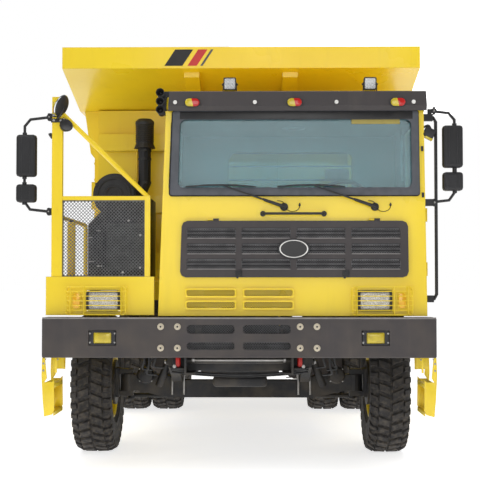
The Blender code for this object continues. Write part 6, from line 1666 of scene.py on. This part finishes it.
for x in (-0.48, -0.08, 0.42, 1.40):
    join(cabin, frameShape(roundedOutline((x - 0.06, 2.27), (x + 0.06, 2.34), 0.010),
        roundedOutline((x - 0.05, 2.28), (x + 0.05, 2.33), 0.006), -3.962, -3.950, 0.002))
    for k in range(4):
        join(cabin, blockShape((x - 0.05, -3.962, 2.284 + 0.0125 * k),
            (x + 0.05, -3.954, 2.287 + 0.0125 * k)))
for column in range(6):
    for row in range(2):
        x, z = 0.06 + 0.042 * column, 2.13 + 0.055 * row
        join(cabin, blockShape((x - 0.015, -3.962, z - 0.021), (x + 0.015, -3.950, z + 0.021), 0.004,
            tone=1 if row else 0))
for x, wide in ((0.78, 0.035), (0.92, 0.035), (1.14, 0.028)):
    join(cabin, blockShape((x - wide, -3.97, 1.60), (x + wide, -3.958, 1.70), 0.005),
        rodShape((x, -3.965, 1.65), (x, -4.10, 1.80), 0.009, sides=10))
join(cabin, rodShape((0.40, -3.62, 1.50), (0.40, -3.70, 2.02), 0.012, sides=12, tone=3),
    turnedShape(((0.0, 0.0), (0.004, 0.020), (0.030, 0.028), (0.054, 0.022), (0.064, 0.0)),
    (0.40, -3.70, 2.02), (0, 0, 1), steps=20), turnedShape(((0.0, 0.09), (0.02, 0.085), (0.05, 0.04),
    (0.08, 0.016), (0.08, 0.0), (0.0, 0.0)), (0.40, -3.62, 1.505), (0, 0, 1), steps=20))
# Roof lining, dome lamp and pillar handles
join(cabin, leanOn(blockShape((-0.60, -4.22, 3.150), (1.55, -2.57, 3.166), 0.004, tone=4)),
    blockShape((0.40, -3.40, 3.132), (0.62, -3.26, 3.152), 0.010, tone=5))
for x in (-0.52, 1.44):
    join(cabin, hoseShape([(x, -4.20, 2.55), (x, -4.15, 2.60), (x, -4.15, 2.92), (x, -4.20, 2.97)], 0.011,
        corner=0.03, level=2, tone=4))
finishPiece(cabin, "cabFittings", [finishes["blackPlastic"], finishes["greyTrim"], finishes["whitePaint"],
    finishes["chrome"], finishes["paleTrim"], finishes["clearLens"]], "chassis")
print("cab fitted out")


# Boarding steps: folded end cheeks, a riser and two treads
stepLook = {"y": (-4.37, -3.92), "outer": 1.716, "inner": 1.572, "top": 1.0115, "bottom": 0.502,
    "sheet": 0.008}
for name, side in bothSides:
    yLow, yHigh = stepLook["y"]
    outer, inner, top, bottom, sheet = (stepLook[key] for key in ("outer", "inner", "top", "bottom",
        "sheet"))
    steps = bmesh.new()
    for y in (yLow, yHigh - sheet):
        join(steps, plateShape([(outer - 0.010, top), (outer - 0.034, top), (outer - 0.052, 0.835),
            (outer - 0.030, 0.800), (outer - 0.004, 0.860)], y, y + sheet, 0.0015),
            plateShape([(inner + 0.004, top), (inner + 0.020, top), (inner + 0.024, 0.880),
            (inner + 0.006, 0.880)], y, y + sheet, 0.0015),
            plateShape([(outer - 0.004, 0.862), (outer - 0.030, 0.800), (inner + 0.050, 0.800),
            (inner + 0.030, 0.820), (inner + 0.026, 0.560), (inner + 0.044, 0.520), (outer - 0.030, bottom),
            (outer - 0.016, 0.640)], y, y + sheet, 0.002))
    # Sloped riser of the upper opening, treads and their turned edges
    join(steps, blockShape((inner + 0.010, yHigh - 0.05, 0.885), (outer - 0.030, yHigh - 0.035, top),
        0.003))
    for z in (0.530, 0.770):
        join(steps, blockShape((inner + 0.028, yLow + 0.004, z), (outer - 0.026, yHigh - 0.004, z + 0.014),
            0.003), blockShape((inner + 0.028, yLow + 0.004, z - 0.022),
            (inner + 0.036, yHigh - 0.004, z + 0.012), 0.003),
            blockShape((outer - 0.034, yLow + 0.004, z - 0.022), (outer - 0.026, yHigh - 0.004, z + 0.020),
            0.003))
    join(steps, blockShape((outer - 0.026, yLow + 0.01, 0.60), (outer - 0.018, yHigh - 0.01, 0.79), 0.003))
    for y in (yLow + 0.06, yHigh - 0.07):
        for x in (outer - 0.022, inner + 0.012):
            join(steps, boltShape((x, y, top - 0.012), (0, 0, -1), 0.010, 0.014, tone=1))
    for z in (0.90, 0.96):
        join(steps, boltShape((outer - 0.022, yLow + 0.0005, z), (0, -1, 0), 0.007, 0.007, tone=1))
    if side < 0:
        bmesh.ops.scale(steps, vec=(-1, 1, 1), verts=steps.verts)
        bmesh.ops.reverse_faces(steps, faces=steps.faces)
    stepPiece = finishPiece(steps, "boardingSteps." + name, [yellow, finishes["zinc"]], "chassis")
    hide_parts("step_" + name)
print("steps made")



floorMesh = bmesh.new()
bmesh.ops.create_grid(floorMesh, x_segments=1, y_segments=1, size=200.0)
floorData = bpy.data.meshes.new("studioFloor")
floorMesh.to_mesh(floorData)
floorMesh.free()
studioFloor = bpy.data.objects.new("studioFloor", floorData)
scene.collection.objects.link(studioFloor)
floorPaint, tree, shader, place = startMaterial("floorPaint")
distance = tree.nodes.new("ShaderNodeVectorMath")
distance.operation = "LENGTH"
tree.links.new(place, distance.inputs[0])
# The floor turns into the white backdrop well away from the truck
far = rangeOf(tree, distance.outputs["Value"], lightLook["floorNear"], lightLook["floorFar"])
plug(tree, mixOf(tree, far, lightLook["floor"], (0.0, 0.0, 0.0)), shader.inputs["Base Color"])
glow = mathOf(tree, "ADD", mathOf(tree, "MULTIPLY", far, 1.0 - lightLook["floorGlow"]),
    lightLook["floorGlow"])
plug(tree, glow, shader.inputs["Emission Strength"])
shader.inputs["Emission Color"].default_value = (1.0, 1.0, 1.0, 1.0)
shader.inputs["Roughness"].default_value = 0.9
floorData.materials.append(floorPaint)
studioFloor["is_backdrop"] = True

low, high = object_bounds()
